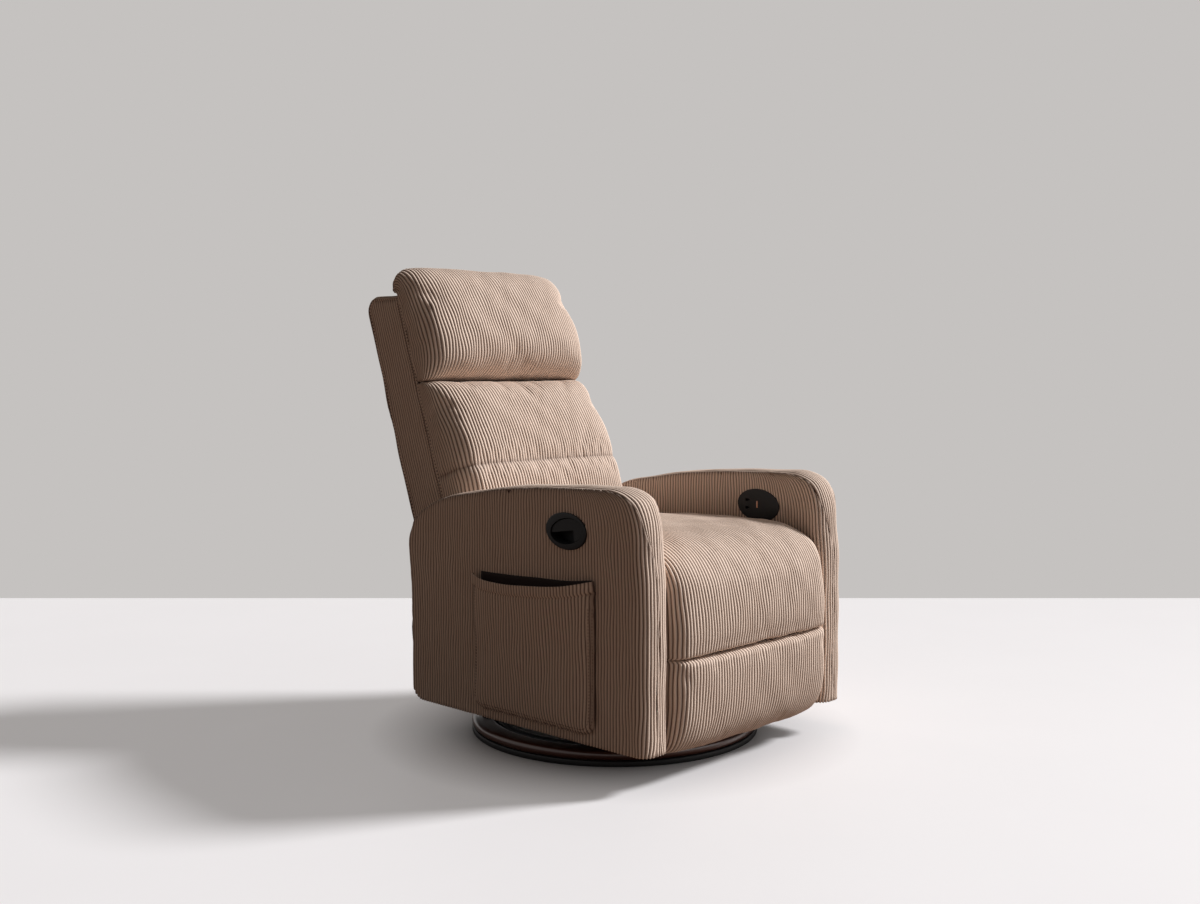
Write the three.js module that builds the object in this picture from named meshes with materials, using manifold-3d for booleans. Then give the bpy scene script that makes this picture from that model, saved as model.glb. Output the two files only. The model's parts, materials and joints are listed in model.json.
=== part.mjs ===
// Swivel glider recliner. Millimetres, +Z up, the sitter faces -Y and has the left arm on +X.
// The chair is drawn about the swivel axis and moved at the end, so that the origin lies on the
// floor under the middle of the whole chair.
import * as THREE from 'three';
import { mergeVertices } from 'three/addons/utils/BufferGeometryUtils.js';
import Module from 'manifold-3d';

const wasm = await Module();
wasm.setup();

// Shared fits
const gap = 0.3;
const runningGap = 0.3;
const overrun = 6;

// Overall chair
const chairHalfWidth = 331;
const armThickness = 78;
const armFrontY = -388;
const armRearY = 314;
const armTopZ = 574;
const armBottomZ = 66;
const bandCrown = 12;
const coverWall = 12;
const frameWall = 12;
const armFootRadius = 36;
const armNoseRadius = 52;
const cushionSideGap = 3;

// Base ring and swivel bearing
const ringRadius = 320;
const ringWidth = 48;
const floorRingHeight = 12;
const woodRingHeight = 20;
const woodRingRound = 9;
const hoopInset = 58;
const hoopWidth = 14;
const hoopHeight = 18;
const crossArmWidth = 56;
const crossThickness = 6;
const hubRadius = 92;
const bearingRadius = 84;
const bearingPlate = 5;
const racePitchRadius = 58;
const raceWidth = 12;
const raceHeight = 2.4;

// Glider: four hanging links between the turntable and the seat frame
const glideHalfBase = 170;
const linkTopZ = 195;
const linkLength = 110;
const linkWidth = 26;
const linkThickness = 6;
const pinRadius = 6;
const planeGap = 3;
const beamOffset = 80;
const beamWidth = 40;
const beamHeight = 22;
const hangerWidth = 30;
const hangerThickness = 6;
const hangerEnd = 15;

// Seat frame
const seatDeckZ = 370;
const frameBottomZ = 300;
const sideRailThickness = 38;
const sideRailFrontY = -300;
const sideRailRearY = 200;
const crossRailThickness = 26;
const springRoom = 8;
const plateThickness = 5;
const plateBarHeight = 45;
const plateLegWidth = 30;
const bossRadius = 18;
const shaftRadius = 8;
const springCount = 5;
const springTurns = 9;
const springInset = 41.1;
const springSwing = 22;
const wireRadius = 2;

// Footrest
const footPivotY = -332;
const footPivotZ = 380;
const tubeRadius = 12;
const footArmInset = 80;
const footArmThickness = 6;
const footArmDepth = 17;
const footArmLength = 260;
const boardThickness = 12;
const boardSetback = 6;
const boardInset = 10;
const boardTopDrop = 82;
const noseReach = 72;
const noseClearance = 2;
const padFrontDepth = 60;
const padBottomZ = 48;
const padSwell = 9;
const padSeamZ = 244;
const boreClearance = 4;
const lipRearDepth = 26;
const armSlotClearance = 2;

// Seat cushion
const seatFrontTopZ = 462;
const seatRearTopZ = 434;
const seatRearY = 194;
const seatNoseY = -389;
const seatCrown = 24;

// Back, drawn about its recline pivot, leaning by the back's angle
const backLean = THREE.MathUtils.degToRad(19);
const reclineY = 262;
const reclineZ = 372;
const backSideThickness = 28;
const backFrontDepth = 12;
const backRearDepth = 110;
const backTopUp = 672;
const backFootDrop = 40;
const backCornerRadius = 34;
const backPanelThickness = 13;
const railUpHeight = 36;
const railDepth = 28;
const lowerRailUp = 30;
const upperRailUp = 560;
const strapWidth = 50;
const strapThickness = 2.5;
const strapCount = 3;
const strapFirstUp = 130;
const strapPitch = 130;
const bracketWidth = 40;
const bracketLength = 240;
const headBaseUp = 414;
const headHeight = 282;
const headDepth = 62;
const headSwell = 34;
const headTopSwell = 12;
const lumbarBaseUp = 60;
const lumbarHeight = 349;
const lumbarDepth = 94;
const lumbarSwell = 30;
const endDraw = 9;

// Rear skirt panel and power inlet
const skirtThickness = 12;
const skirtSetback = 14;
const skirtTopZ = 245;
const skirtBottomZ = 72;
const inletInset = 72.7;
const inletZ = 112;
const inletRadius = 11;
const inletDepth = 14;
const inletBore = 3.4;

// Side pocket on the right arm
const pocketFrontY = -273;
const pocketRearY = 74;
const pocketBottomZ = 88;
const pocketRearTopZ = 371;
const pocketFrontTopZ = 396;
const pocketSag = 10;
const pocketMouth = 26;
const pocketFoot = 13;
const pocketWall = 4;
const pocketRadius = 26;

// Release latch in the right arm's outer face
const latchY = -184;
const latchZ = 486;
const latchTilt = THREE.MathUtils.degToRad(8);
const bezelHalfLength = 56;
const bezelHalfHeight = 37;
const bezelProud = 4;
const bezelRim = 9;
const cupDepth = 27;
const cupWall = 2.2;
const paddleThickness = 4;
const paddleClearance = 1.5;
const paddleDrop = 24;
const paddleLegWidth = 26;
const paddlePinUp = 20;
const paddlePinRadius = 1.8;
const paddlePinHalf = 29;
const pawlPivotY = -312;
const pawlPivotZ = 326;
const pawlLength = 34;
const pawlWidth = 14;
const pawlThickness = 4;
const pawlPinRadius = 4;

// Charging panel in the left arm's inner face
const panelY = -207;
const panelZ = 497;
const panelHalfLength = 58;
const panelHalfHeight = 35;
const panelProud = 3;
const panelBodyDepth = 24;
const panelBodyInset = 9;
const socketWidth = 12.5;
const socketHeight = 5.1;
const socketDepth = 14;
const socketOffsetY = 27;
const socketOffsetZ = 9;
const lensWidth = 3.4;
const lensHeight = 15;
const lensDepth = 2;
const lensProud = 0.6;

// Cables
const cableRadius = 2.6;
const cableHoleRadius = 6;
const cableHoleY = -240;
const cableHoleZ = 270;
const harnessHoleY = 262;
const harnessHoleZ = 150;

// Facets
const ringSides = 44;
const shaftSides = 14;
const cornerSteps = 4;
const ovalSteps = 24;
const bandSteps = 3;
const springSides = 4;
const springBendSteps = 3;
const cableSides = 8;
const cableSteps = 24;
const seatSamples = 28;
const padSamples = 30;
const arcSteps = 3;
const backSamples = 28;

// Materials
const fabric = new THREE.MeshStandardMaterial({ color: 0xa8876c, roughness: 0.95, metalness: 0 });
const walnut = new THREE.MeshStandardMaterial({ color: 0x3b211b, roughness: 0.35, metalness: 0 });
const timber = new THREE.MeshStandardMaterial({ color: 0xc9a878, roughness: 0.75, metalness: 0 });
const blackSteel = new THREE.MeshStandardMaterial({ color: 0x17181a, roughness: 0.45, metalness: 0.7 });
const springSteel = new THREE.MeshStandardMaterial({ color: 0x8b8f94, roughness: 0.35, metalness: 0.9 });
const blackPlastic = new THREE.MeshStandardMaterial({ color: 0x141416, roughness: 0.4, metalness: 0 });
const webbing = new THREE.MeshStandardMaterial({ color: 0x2a2a2c, roughness: 0.9, metalness: 0 });
const lensPlastic = new THREE.MeshStandardMaterial({ color: 0xb26a52, roughness: 0.3, metalness: 0 });

// Places worked out from the sizes above
const armInnerX = chairHalfWidth - armThickness;
const armMiddleX = chairHalfWidth - armThickness / 2;
const seatHalfWidth = armInnerX - cushionSideGap;
const footArmX = seatHalfWidth - footArmInset;
const hoopRadius = ringRadius - hoopInset;
const railOuterX = armInnerX - gap;
const railInnerX = railOuterX - sideRailThickness;
const inletX = railOuterX - inletInset;
const plateOuterX = railInnerX - gap;
const plateInnerX = plateOuterX - plateThickness;
const linkOuterX = plateInnerX - planeGap;
const linkInnerX = linkOuterX - linkThickness;
const hangerOuterX = linkInnerX - planeGap;
const hangerInnerX = hangerOuterX - hangerThickness;
const woodRingBottomZ = floorRingHeight + gap;
const woodRingTopZ = woodRingBottomZ + woodRingHeight;
const crossBottomZ = woodRingTopZ + gap;
const crossTopZ = crossBottomZ + crossThickness;
const bearingBottomZ = crossTopZ + gap;
const bearingSplitZ = bearingBottomZ + bearingPlate;
const turntableZ = bearingSplitZ + raceHeight + bearingPlate;
const beamBottomZ = turntableZ + gap;
const beamTopZ = beamBottomZ + beamHeight;
const linkBottomZ = linkTopZ - linkLength;
const railTopZ = seatDeckZ - gap;
const crossRailTopZ = seatDeckZ - springRoom;
const crossRailHalf = plateInnerX - gap;
const backHalfWidth = seatHalfWidth;
const backSideInnerX = backHalfWidth - backSideThickness;
const bracketOuterX = backSideInnerX - gap;
const bracketInnerX = bracketOuterX - plateThickness;
const cushionBackDepth = backFrontDepth + gap;

// Solid helpers
function toSolid(geometry) {
  const bare = geometry.clone();
  bare.deleteAttribute('normal');
  bare.deleteAttribute('uv');
  const merged = mergeVertices(bare);
  return new wasm.Manifold(new wasm.Mesh({
    numProp: 3,
    vertProperties: new Float32Array(merged.attributes.position.array),
    triVerts: new Uint32Array(merged.index.array),
  }));
}

function toGeometry(solid) {
  const mesh = solid.getMesh();
  const geometry = new THREE.BufferGeometry();
  const places = new Float32Array(mesh.numVert * 3);
  for (let i = 0; i < mesh.numVert; i += 1) {
    for (let axis = 0; axis < 3; axis += 1) {
      places[i * 3 + axis] = mesh.vertProperties[i * mesh.numProp + axis];
    }
  }
  geometry.setAttribute('position', new THREE.BufferAttribute(places, 3));
  geometry.setIndex(new THREE.BufferAttribute(new Uint32Array(mesh.triVerts), 1));
  geometry.computeVertexNormals();
  return geometry;
}

function join(...geometries) {
  return toGeometry(geometries.map(toSolid).reduce((all, one) => all.add(one)));
}

function cut(geometry, ...cutters) {
  return toGeometry(cutters.map(toSolid).reduce((left, one) => left.subtract(one), toSolid(geometry)));
}

function common(geometry, other) {
  return toGeometry(toSolid(geometry).intersect(toSolid(other)));
}

function piece(name, geometry, material) {
  const mesh = new THREE.Mesh(geometry, material);
  mesh.name = name;
  return mesh;
}

function group(...children) {
  const holder = new THREE.Group();
  holder.add(...children);
  return holder;
}

// The stretch from inner to outer on one side of the chair, as lowest and highest X
function onSide(side, inner, outer) {
  return side > 0 ? [inner, outer] : [-outer, -inner];
}

// Shape helpers. Outlines seen from the side are drawn in Y and Z and stand along X.
function box(x, y, z) {
  const geometry = new THREE.BoxGeometry(x[1] - x[0], y[1] - y[0], z[1] - z[0]);
  return geometry.translate((x[0] + x[1]) / 2, (y[0] + y[1]) / 2, (z[0] + z[1]) / 2);
}

function rodX(radius, x, y, z, sides = shaftSides) {
  const geometry = new THREE.CylinderGeometry(radius, radius, x[1] - x[0], sides);
  return geometry.rotateZ(-Math.PI / 2).translate((x[0] + x[1]) / 2, y, z);
}

function alongX(geometry, x) {
  const turn = new THREE.Matrix4().makeBasis(
    new THREE.Vector3(0, 1, 0),
    new THREE.Vector3(0, 0, 1),
    new THREE.Vector3(1, 0, 0),
  );
  return geometry.applyMatrix4(turn).translate(x, 0, 0);
}

function plateX(outline, x) {
  const settings = { depth: x[1] - x[0], bevelEnabled: false, curveSegments: cornerSteps };
  return alongX(new THREE.ExtrudeGeometry(outline, settings), x[0]);
}

function paddedX(outline, x, edge, steps) {
  const settings = {
    depth: x[1] - x[0] - 2 * edge,
    bevelEnabled: true,
    bevelThickness: edge,
    bevelSize: edge,
    bevelSegments: steps,
    curveSegments: cornerSteps,
  };
  return alongX(new THREE.ExtrudeGeometry(outline, settings), x[0] + edge);
}

// A closed outline whose corners are rounded; each corner is [across, up, radius].
function rounded(corners) {
  const points = [];
  corners.forEach(([across, up, radius], i) => {
    const here = new THREE.Vector2(across, up);
    const before = corners[(i + corners.length - 1) % corners.length];
    const after = corners[(i + 1) % corners.length];
    if (!radius) {
      points.push(here);
      return;
    }
    const back = new THREE.Vector2(before[0], before[1]).sub(here);
    const on = new THREE.Vector2(after[0], after[1]).sub(here);
    const half = Math.abs(Math.acos(back.dot(on) / (back.length() * on.length()))) / 2;
    const reach = Math.min(radius / Math.tan(half), back.length() / 2, on.length() / 2);
    const start = here.clone().addScaledVector(back.normalize(), reach);
    const end = here.clone().addScaledVector(on.normalize(), reach);
    const curve = new THREE.QuadraticBezierCurve(start, here, end);
    points.push(...curve.getPoints(cornerSteps));
  });
  return new THREE.Shape(points);
}

function oval(halfLength, halfHeight, y, z, tilt) {
  const shape = new THREE.Shape();
  shape.absellipse(y, z, halfLength, halfHeight, 0, 2 * Math.PI, false, tilt);
  return new THREE.Shape(shape.getPoints(ovalSteps).slice(1));
}

function ring(outer, width, bottom, height, round) {
  const inner = outer - width;
  const top = bottom + height;
  const steps = round ? cornerSteps : 0;
  const profile = [new THREE.Vector2(inner, bottom), new THREE.Vector2(outer - round / 3, bottom)];
  for (let i = 0; i <= steps; i += 1) {
    const turn = steps ? (i / steps) * (Math.PI / 2) : 0;
    profile.push(new THREE.Vector2(
      outer - round + round * Math.cos(turn),
      top - round + round * Math.sin(turn),
    ));
  }
  profile.push(new THREE.Vector2(inner, top), new THREE.Vector2(inner, bottom));
  return new THREE.LatheGeometry(profile, ringSides).rotateX(Math.PI / 2);
}

function disc(radius, bottom, height) {
  const geometry = new THREE.CylinderGeometry(radius, radius, height, ringSides);
  return geometry.rotateX(Math.PI / 2).translate(0, 0, bottom + height / 2);
}

function tubeAlong(points, radius, sides, steps) {
  const section = new THREE.Shape();
  for (let i = 0; i < sides; i += 1) {
    const turn = (i / sides) * 2 * Math.PI;
    const corner = [radius * Math.cos(turn), radius * Math.sin(turn)];
    if (i === 0) {
      section.moveTo(...corner);
    } else {
      section.lineTo(...corner);
    }
  }
  const path = new THREE.CatmullRomCurve3(points.map((p) => new THREE.Vector3(...p)));
  return new THREE.ExtrudeGeometry(section, { steps, extrudePath: path, bevelEnabled: false });
}

// A stuffed form: a side profile carried across X. Each profile point is
// [y, z, swellY, swellZ]; it stands out by its swell in the middle and draws in at both ends.
const stationShares = [
  [-1, 0, 1], [-0.985, 0.12, 0.3], [-0.93, 0.34, 0], [-0.78, 0.62, 0], [-0.5, 0.88, 0], [0, 1, 0],
  [0.5, 0.88, 0], [0.78, 0.62, 0], [0.93, 0.34, 0], [0.985, 0.12, 0.3], [1, 0, 1],
];

function stuffed(drawn, halfWidth, draw) {
  const turnsRight = THREE.ShapeUtils.area(drawn.map(([y, z]) => new THREE.Vector2(y, z))) < 0;
  const profile = turnsRight ? drawn.slice().reverse() : drawn;
  const middle = [0, 0];
  profile.forEach(([y, z]) => {
    middle[0] += y / profile.length;
    middle[1] += z / profile.length;
  });
  const places = [];
  stationShares.forEach(([xShare, swell, drawShare]) => {
    profile.forEach(([y, z, swellY, swellZ]) => {
      const inward = new THREE.Vector2(middle[0] - y, middle[1] - z);
      inward.setLength(Math.min(draw * drawShare, inward.length()));
      places.push(xShare * halfWidth, y + swell * swellY + inward.x, z + swell * swellZ + inward.y);
    });
  });
  const count = profile.length;
  const faces = [];
  for (let s = 0; s < stationShares.length - 1; s += 1) {
    for (let i = 0; i < count; i += 1) {
      const here = s * count + i;
      const next = s * count + ((i + 1) % count);
      faces.push(here, next, next + count, here, next + count, here + count);
    }
  }
  const endPoints = (s) => profile.map((_, i) => new THREE.Vector2(
    places[(s * count + i) * 3 + 1],
    places[(s * count + i) * 3 + 2],
  ));
  const last = stationShares.length - 1;
  THREE.ShapeUtils.triangulateShape(endPoints(0), []).forEach(([a, b, c]) => faces.push(a, c, b));
  THREE.ShapeUtils.triangulateShape(endPoints(last), []).forEach(([a, b, c]) => {
    faces.push(a + last * count, b + last * count, c + last * count);
  });
  const geometry = new THREE.BufferGeometry();
  geometry.setAttribute('position', new THREE.Float32BufferAttribute(places, 3));
  geometry.setIndex(faces);
  return outward(geometry);
}

// Turns the faces round when the profile was drawn the other way.
function outward(geometry) {
  const p = geometry.attributes.position;
  const index = geometry.index.array;
  let volume = 0;
  for (let i = 0; i < index.length; i += 3) {
    const [a, b, c] = [0, 1, 2].map((k) => new THREE.Vector3().fromBufferAttribute(p, index[i + k]));
    volume += a.dot(b.cross(c));
  }
  if (volume < 0) {
    for (let i = 0; i < index.length; i += 3) {
      [index[i + 1], index[i + 2]] = [index[i + 2], index[i + 1]];
    }
  }
  return geometry;
}

// Smooths the visible run of a profile and keeps the hidden corners sharp.
function softProfile(visible, hidden, samples) {
  const places = new THREE.CatmullRomCurve3(
    visible.map(([y, z]) => new THREE.Vector3(y, z, 0)), false, 'centripetal',
  );
  const swells = new THREE.CatmullRomCurve3(
    visible.map(([, , y, z]) => new THREE.Vector3(y, z, 0)), false, 'catmullrom', 0,
  );
  const points = [];
  for (let i = 0; i <= samples; i += 1) {
    const place = places.getPoint(i / samples);
    const swell = swells.getPoint(i / samples);
    points.push([place.x, place.y, swell.x, swell.y]);
  }
  return points.concat(hidden);
}

// Base
function baseRing() {
  const floorRing = ring(ringRadius - gap, ringWidth, 0, floorRingHeight, 0);
  const woodRing = ring(ringRadius, ringWidth, woodRingBottomZ, woodRingHeight, woodRingRound);
  const hoopBottomZ = woodRingTopZ - hoopHeight;
  const hoop = ring(hoopRadius + hoopWidth / 2, hoopWidth, hoopBottomZ, hoopHeight, 0);
  const reach = ringRadius - ringWidth / 2;
  const level = [crossBottomZ, crossTopZ];
  const half = crossArmWidth / 2;
  const arms = [0, 1].map((i) => {
    const bar = box([-reach, reach], [-half, half], level);
    return bar.rotateZ(Math.PI / 4 + (i * Math.PI) / 2);
  });
  const cross = join(disc(hubRadius, crossBottomZ, crossThickness), ...arms);
  const race = ring(racePitchRadius + raceWidth / 2, raceWidth, bearingSplitZ - gap, raceHeight, 0);
  const lower = join(disc(bearingRadius, bearingBottomZ, bearingPlate), race);
  return group(
    piece('floor_ring', floorRing, blackPlastic),
    piece('base_ring', woodRing, walnut),
    piece('base_hoop', hoop, blackSteel),
    piece('base_cross', cross, blackSteel),
    piece('bearing_lower', lower, springSteel),
  );
}

// Turntable: upper bearing plate, two beams and two hangers with the links' upper pivots
function hanger(side) {
  const x = onSide(side, hangerInnerX, hangerOuterX);
  const end = glideHalfBase + hangerEnd;
  const bar = box(x, [-end, end], [beamBottomZ, beamTopZ]);
  const half = hangerWidth / 2;
  const posts = [-glideHalfBase, glideHalfBase].flatMap((y) => [
    box(x, [y - half, y + half], [beamBottomZ, linkTopZ]),
    rodX(half, x, y, linkTopZ),
  ]);
  const through = [x[0] - overrun, x[1] + overrun];
  const holes = [-glideHalfBase, glideHalfBase].map((y) => (
    rodX(pinRadius + runningGap, through, y, linkTopZ)
  ));
  return cut(join(bar, ...posts), ...holes);
}

function turntable() {
  const upper = disc(bearingRadius, turntableZ - bearingPlate + gap, bearingPlate - gap);
  const span = [-(hangerInnerX - gap), hangerInnerX - gap];
  const beam = (y) => box(span, [y - beamWidth / 2, y + beamWidth / 2], [beamBottomZ, beamTopZ]);
  return group(
    piece('bearing_upper', upper, springSteel),
    piece('turntable_beam_front', beam(-beamOffset), blackSteel),
    piece('turntable_beam_rear', beam(beamOffset), blackSteel),
    piece('hanger_left', hanger(1), blackSteel),
    piece('hanger_right', hanger(-1), blackSteel),
  );
}

function link(side, y) {
  const half = linkWidth / 2;
  const x = onSide(side, linkInnerX, linkOuterX);
  const inside = onSide(side, hangerInnerX - runningGap, linkOuterX);
  const outside = onSide(side, linkInnerX, plateOuterX + runningGap);
  return join(
    box(x, [y - half, y + half], [linkBottomZ, linkTopZ]),
    rodX(half, x, y, linkTopZ),
    rodX(half, x, y, linkBottomZ),
    rodX(pinRadius, inside, y, linkTopZ),
    rodX(pinRadius, outside, y, linkBottomZ),
  );
}

function links() {
  return group(
    piece('glide_link_front_left', link(1, -glideHalfBase), blackSteel),
    piece('glide_link_front_right', link(-1, -glideHalfBase), blackSteel),
    piece('glide_link_rear_left', link(1, glideHalfBase), blackSteel),
    piece('glide_link_rear_right', link(-1, glideHalfBase), blackSteel),
  );
}

// Seat frame
function sidePlate(side) {
  const x = onSide(side, plateInnerX, plateOuterX);
  const leg = plateLegWidth / 2;
  const barTopZ = frameBottomZ + plateBarHeight;
  const neck = (y, z) => [
    box(x, [y - leg, y + leg], [frameBottomZ, z]),
    rodX(bossRadius, x, y, z),
  ];
  const legs = [-glideHalfBase, glideHalfBase].flatMap((y) => [
    box(x, [y - leg, y + leg], [linkBottomZ, barTopZ]),
    rodX(leg, x, y, linkBottomZ),
  ]);
  const bar = box(x, [footPivotY - leg, reclineY + leg], [frameBottomZ, barTopZ]);
  const through = [x[0] - overrun, x[1] + overrun];
  const holes = [
    rodX(shaftRadius + runningGap, through, footPivotY, footPivotZ),
    rodX(shaftRadius + runningGap, through, reclineY, reclineZ),
    ...[-glideHalfBase, glideHalfBase].map((y) => rodX(pinRadius + runningGap, through, y, linkBottomZ)),
  ];
  if (side < 0) {
    holes.push(rodX(pawlPinRadius + runningGap, through, pawlPivotY, pawlPivotZ));
  }
  return cut(join(bar, ...neck(footPivotY, footPivotZ), ...neck(reclineY, reclineZ), ...legs), ...holes);
}

function sinuousSpring(x) {
  const front = sideRailFrontY + crossRailThickness / 2;
  const rear = sideRailRearY - crossRailThickness / 2;
  const z = crossRailTopZ + gap + wireRadius;
  const points = [];
  for (let i = 0; i <= springTurns; i += 1) {
    const swing = i === 0 || i === springTurns ? 0 : springSwing * (i % 2 ? 1 : -1);
    points.push([x + swing, front + ((rear - front) * i) / springTurns, z]);
  }
  return tubeAlong(points, wireRadius, springSides, springTurns * springBendSteps);
}

function seatFrame() {
  const sideRail = (side) => {
    const x = onSide(side, railInnerX, railOuterX);
    return box(x, [sideRailFrontY, sideRailRearY], [frameBottomZ, railTopZ]);
  };
  const crossRail = (y) => box(
    [-crossRailHalf, crossRailHalf], [y, y + crossRailThickness], [frameBottomZ, crossRailTopZ],
  );
  const springs = [];
  for (let i = 0; i < springCount; i += 1) {
    const x = ((2 * i) / (springCount - 1) - 1) * (crossRailHalf - springInset);
    springs.push(piece(`seat_spring_${i + 1}`, sinuousSpring(x), springSteel));
  }
  return group(
    piece('side_plate_left', sidePlate(1), blackSteel),
    piece('side_plate_right', sidePlate(-1), blackSteel),
    piece('seat_rail_left', sideRail(1), timber),
    piece('seat_rail_right', sideRail(-1), timber),
    piece('seat_rail_front', crossRail(sideRailFrontY), timber),
    piece('seat_rail_rear', crossRail(sideRailRearY - crossRailThickness), timber),
    ...springs,
  );
}

// Arms. The top slopes to the rear: [share of the length, share of the height].
const armTopShares = [
  [0.19, 0.992], [0.477, 0.972], [0.68, 0.933], [0.85, 0.884], [0.93, 0.835], [0.985, 0.765],
];

function armOutline(inset) {
  const front = armFrontY + bandCrown + inset;
  const rear = armRearY - bandCrown - inset;
  const bottom = armBottomZ;
  const height = armTopZ - bandCrown - inset - bottom;
  const length = rear - front;
  const nose = Math.max(armNoseRadius - inset, gap);
  const foot = Math.max(armFootRadius - inset, gap);
  const top = armTopShares.map(([along, up]) => (
    new THREE.Vector2(front + along * length, bottom + up * height)
  ));
  const shape = new THREE.Shape();
  shape.moveTo(front, bottom);
  shape.lineTo(rear - foot, bottom);
  shape.quadraticCurveTo(rear, bottom, rear, bottom + foot);
  shape.lineTo(rear, top[top.length - 1].y - foot);
  shape.splineThru(top.slice().reverse());
  shape.lineTo(front + nose, bottom + height);
  shape.quadraticCurveTo(front, bottom + height, front, bottom + height - nose);
  return shape;
}

function underArm(side) {
  const x = onSide(side, armInnerX - overrun, chairHalfWidth + overrun);
  const depth = bandCrown + overrun;
  return box(x, [armFrontY - overrun, armRearY + overrun], [armBottomZ - depth, armBottomZ]);
}

// The hollow of an arm shell, open at the bottom.
function armHollow(side, inset) {
  const x = onSide(side, armInnerX + inset, chairHalfWidth - inset);
  const outline = armOutline(inset);
  const foot = box(x, [armFrontY + bandCrown + inset, armRearY - bandCrown - inset],
    [armBottomZ - overrun, armBottomZ + armFootRadius]);
  return join(plateX(outline, x), foot);
}

function armCutters(side, clearance) {
  const latch = oval(bezelHalfLength - bezelRim + clearance, bezelHalfHeight - bezelRim + clearance,
    latchY, latchZ, -latchTilt);
  const panel = oval(panelHalfLength - panelBodyInset + clearance,
    panelHalfHeight - panelBodyInset + clearance, panelY, panelZ, 0);
  if (side < 0) {
    return [
      plateX(latch, [-chairHalfWidth - overrun, -chairHalfWidth + cupDepth + overrun]),
      rodX(cableHoleRadius, [-armMiddleX, -armInnerX + overrun], cableHoleY, cableHoleZ),
    ];
  }
  return [
    plateX(panel, [armInnerX - overrun, armInnerX + panelBodyDepth + overrun]),
    rodX(cableHoleRadius, [armInnerX - overrun, armMiddleX], harnessHoleY, harnessHoleZ),
  ];
}

function arm(side) {
  const x = onSide(side, armInnerX, chairHalfWidth);
  const padded = paddedX(armOutline(0), x, bandCrown, bandSteps);
  const cover = cut(padded, underArm(side), armHollow(side, coverWall), ...armCutters(side, gap));
  const inset = coverWall + gap;
  const body = armHollow(side, inset);
  const frame = cut(body, underArm(side), armHollow(side, inset + frameWall), ...armCutters(side, gap));
  const name = side > 0 ? 'left' : 'right';
  return group(
    piece(`arm_cover_${name}`, cover, fabric),
    piece(`arm_frame_${name}`, frame, timber),
  );
}

// Side pocket: a patch sewn on at three sides, gaping at the top
function sidePocket() {
  const faceX = -chairHalfWidth - gap;
  const middleY = (pocketFrontY + pocketRearY) / 2;
  const sagZ = (pocketFrontTopZ + pocketRearTopZ) / 2 - pocketSag;
  const outline = (inset) => rounded([
    [pocketFrontY + inset, pocketBottomZ + inset, pocketRadius],
    [pocketRearY - inset, pocketBottomZ + inset, pocketRadius],
    [pocketRearY - inset, pocketRearTopZ, 0],
    [middleY, sagZ, 0],
    [pocketFrontY + inset, pocketFrontTopZ, 0],
  ]);
  const bulge = (inset) => new THREE.Shape([
    new THREE.Vector2(faceX, pocketBottomZ - overrun),
    new THREE.Vector2(faceX, pocketFrontTopZ + overrun),
    new THREE.Vector2(faceX - pocketMouth + inset, pocketFrontTopZ + overrun),
    new THREE.Vector2(faceX - pocketMouth + inset, pocketRearTopZ - pocketRadius),
    new THREE.Vector2(faceX - pocketFoot + inset, pocketBottomZ - overrun),
  ]);
  const alongY = (shape, y) => {
    const geometry = new THREE.ExtrudeGeometry(shape, { depth: y[1] - y[0], bevelEnabled: false });
    return geometry.rotateX(Math.PI / 2).translate(0, y[1], 0);
  };
  const wide = [pocketFrontY - overrun, pocketRearY + overrun];
  const depth = [faceX - pocketMouth - overrun, faceX];
  const outer = common(plateX(outline(0), depth), alongY(bulge(0), wide));
  const hollow = common(
    plateX(outline(pocketWall), [depth[0], faceX + overrun]), alongY(bulge(pocketWall), wide),
  );
  const mouth = box([faceX - pocketMouth + pocketWall, faceX + overrun],
    [pocketFrontY + pocketWall, pocketRearY - pocketWall],
    [pocketRearTopZ - pocketRadius, pocketFrontTopZ + overrun]);
  const behind = box([faceX - gap, faceX + overrun], [pocketFrontY + pocketWall, pocketRearY - pocketWall],
    [pocketBottomZ + pocketRadius, pocketFrontTopZ + overrun]);
  return piece('side_pocket', cut(outer, hollow, mouth, behind), fabric);
}

// Release latch: a cup with an oval bezel, a sprung paddle on two stub pins, a cable and a pawl
function latchPin(radius, half) {
  const pin = new THREE.CylinderGeometry(radius, radius, half * 2, shaftSides);
  const [y, z] = tilted(0, paddlePinUp);
  const x = -chairHalfWidth - bezelProud / 2 + paddleThickness / 2;
  return pin.rotateX(-latchTilt).translate(x, y, z);
}

function latchCup() {
  const face = -chairHalfWidth;
  const bezel = oval(bezelHalfLength, bezelHalfHeight, latchY, latchZ, -latchTilt);
  const inner = (extra) => oval(
    bezelHalfLength - bezelRim + extra, bezelHalfHeight - bezelRim + extra, latchY, latchZ, -latchTilt,
  );
  const flange = plateX(bezel, [face - bezelProud, face - gap]);
  const body = plateX(inner(0), [face - bezelProud, face + cupDepth]);
  const recess = plateX(inner(-cupWall), [face - bezelProud - overrun, face + cupDepth - cupWall]);
  const pinHole = latchPin(paddlePinRadius + runningGap, paddlePinHalf + runningGap);
  return piece('latch_cup', cut(join(flange, body), recess, pinHole), blackPlastic);
}

function tilted(y, z) {
  return [
    latchY + y * Math.cos(latchTilt) + z * Math.sin(latchTilt),
    latchZ - y * Math.sin(latchTilt) + z * Math.cos(latchTilt),
  ];
}

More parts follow.
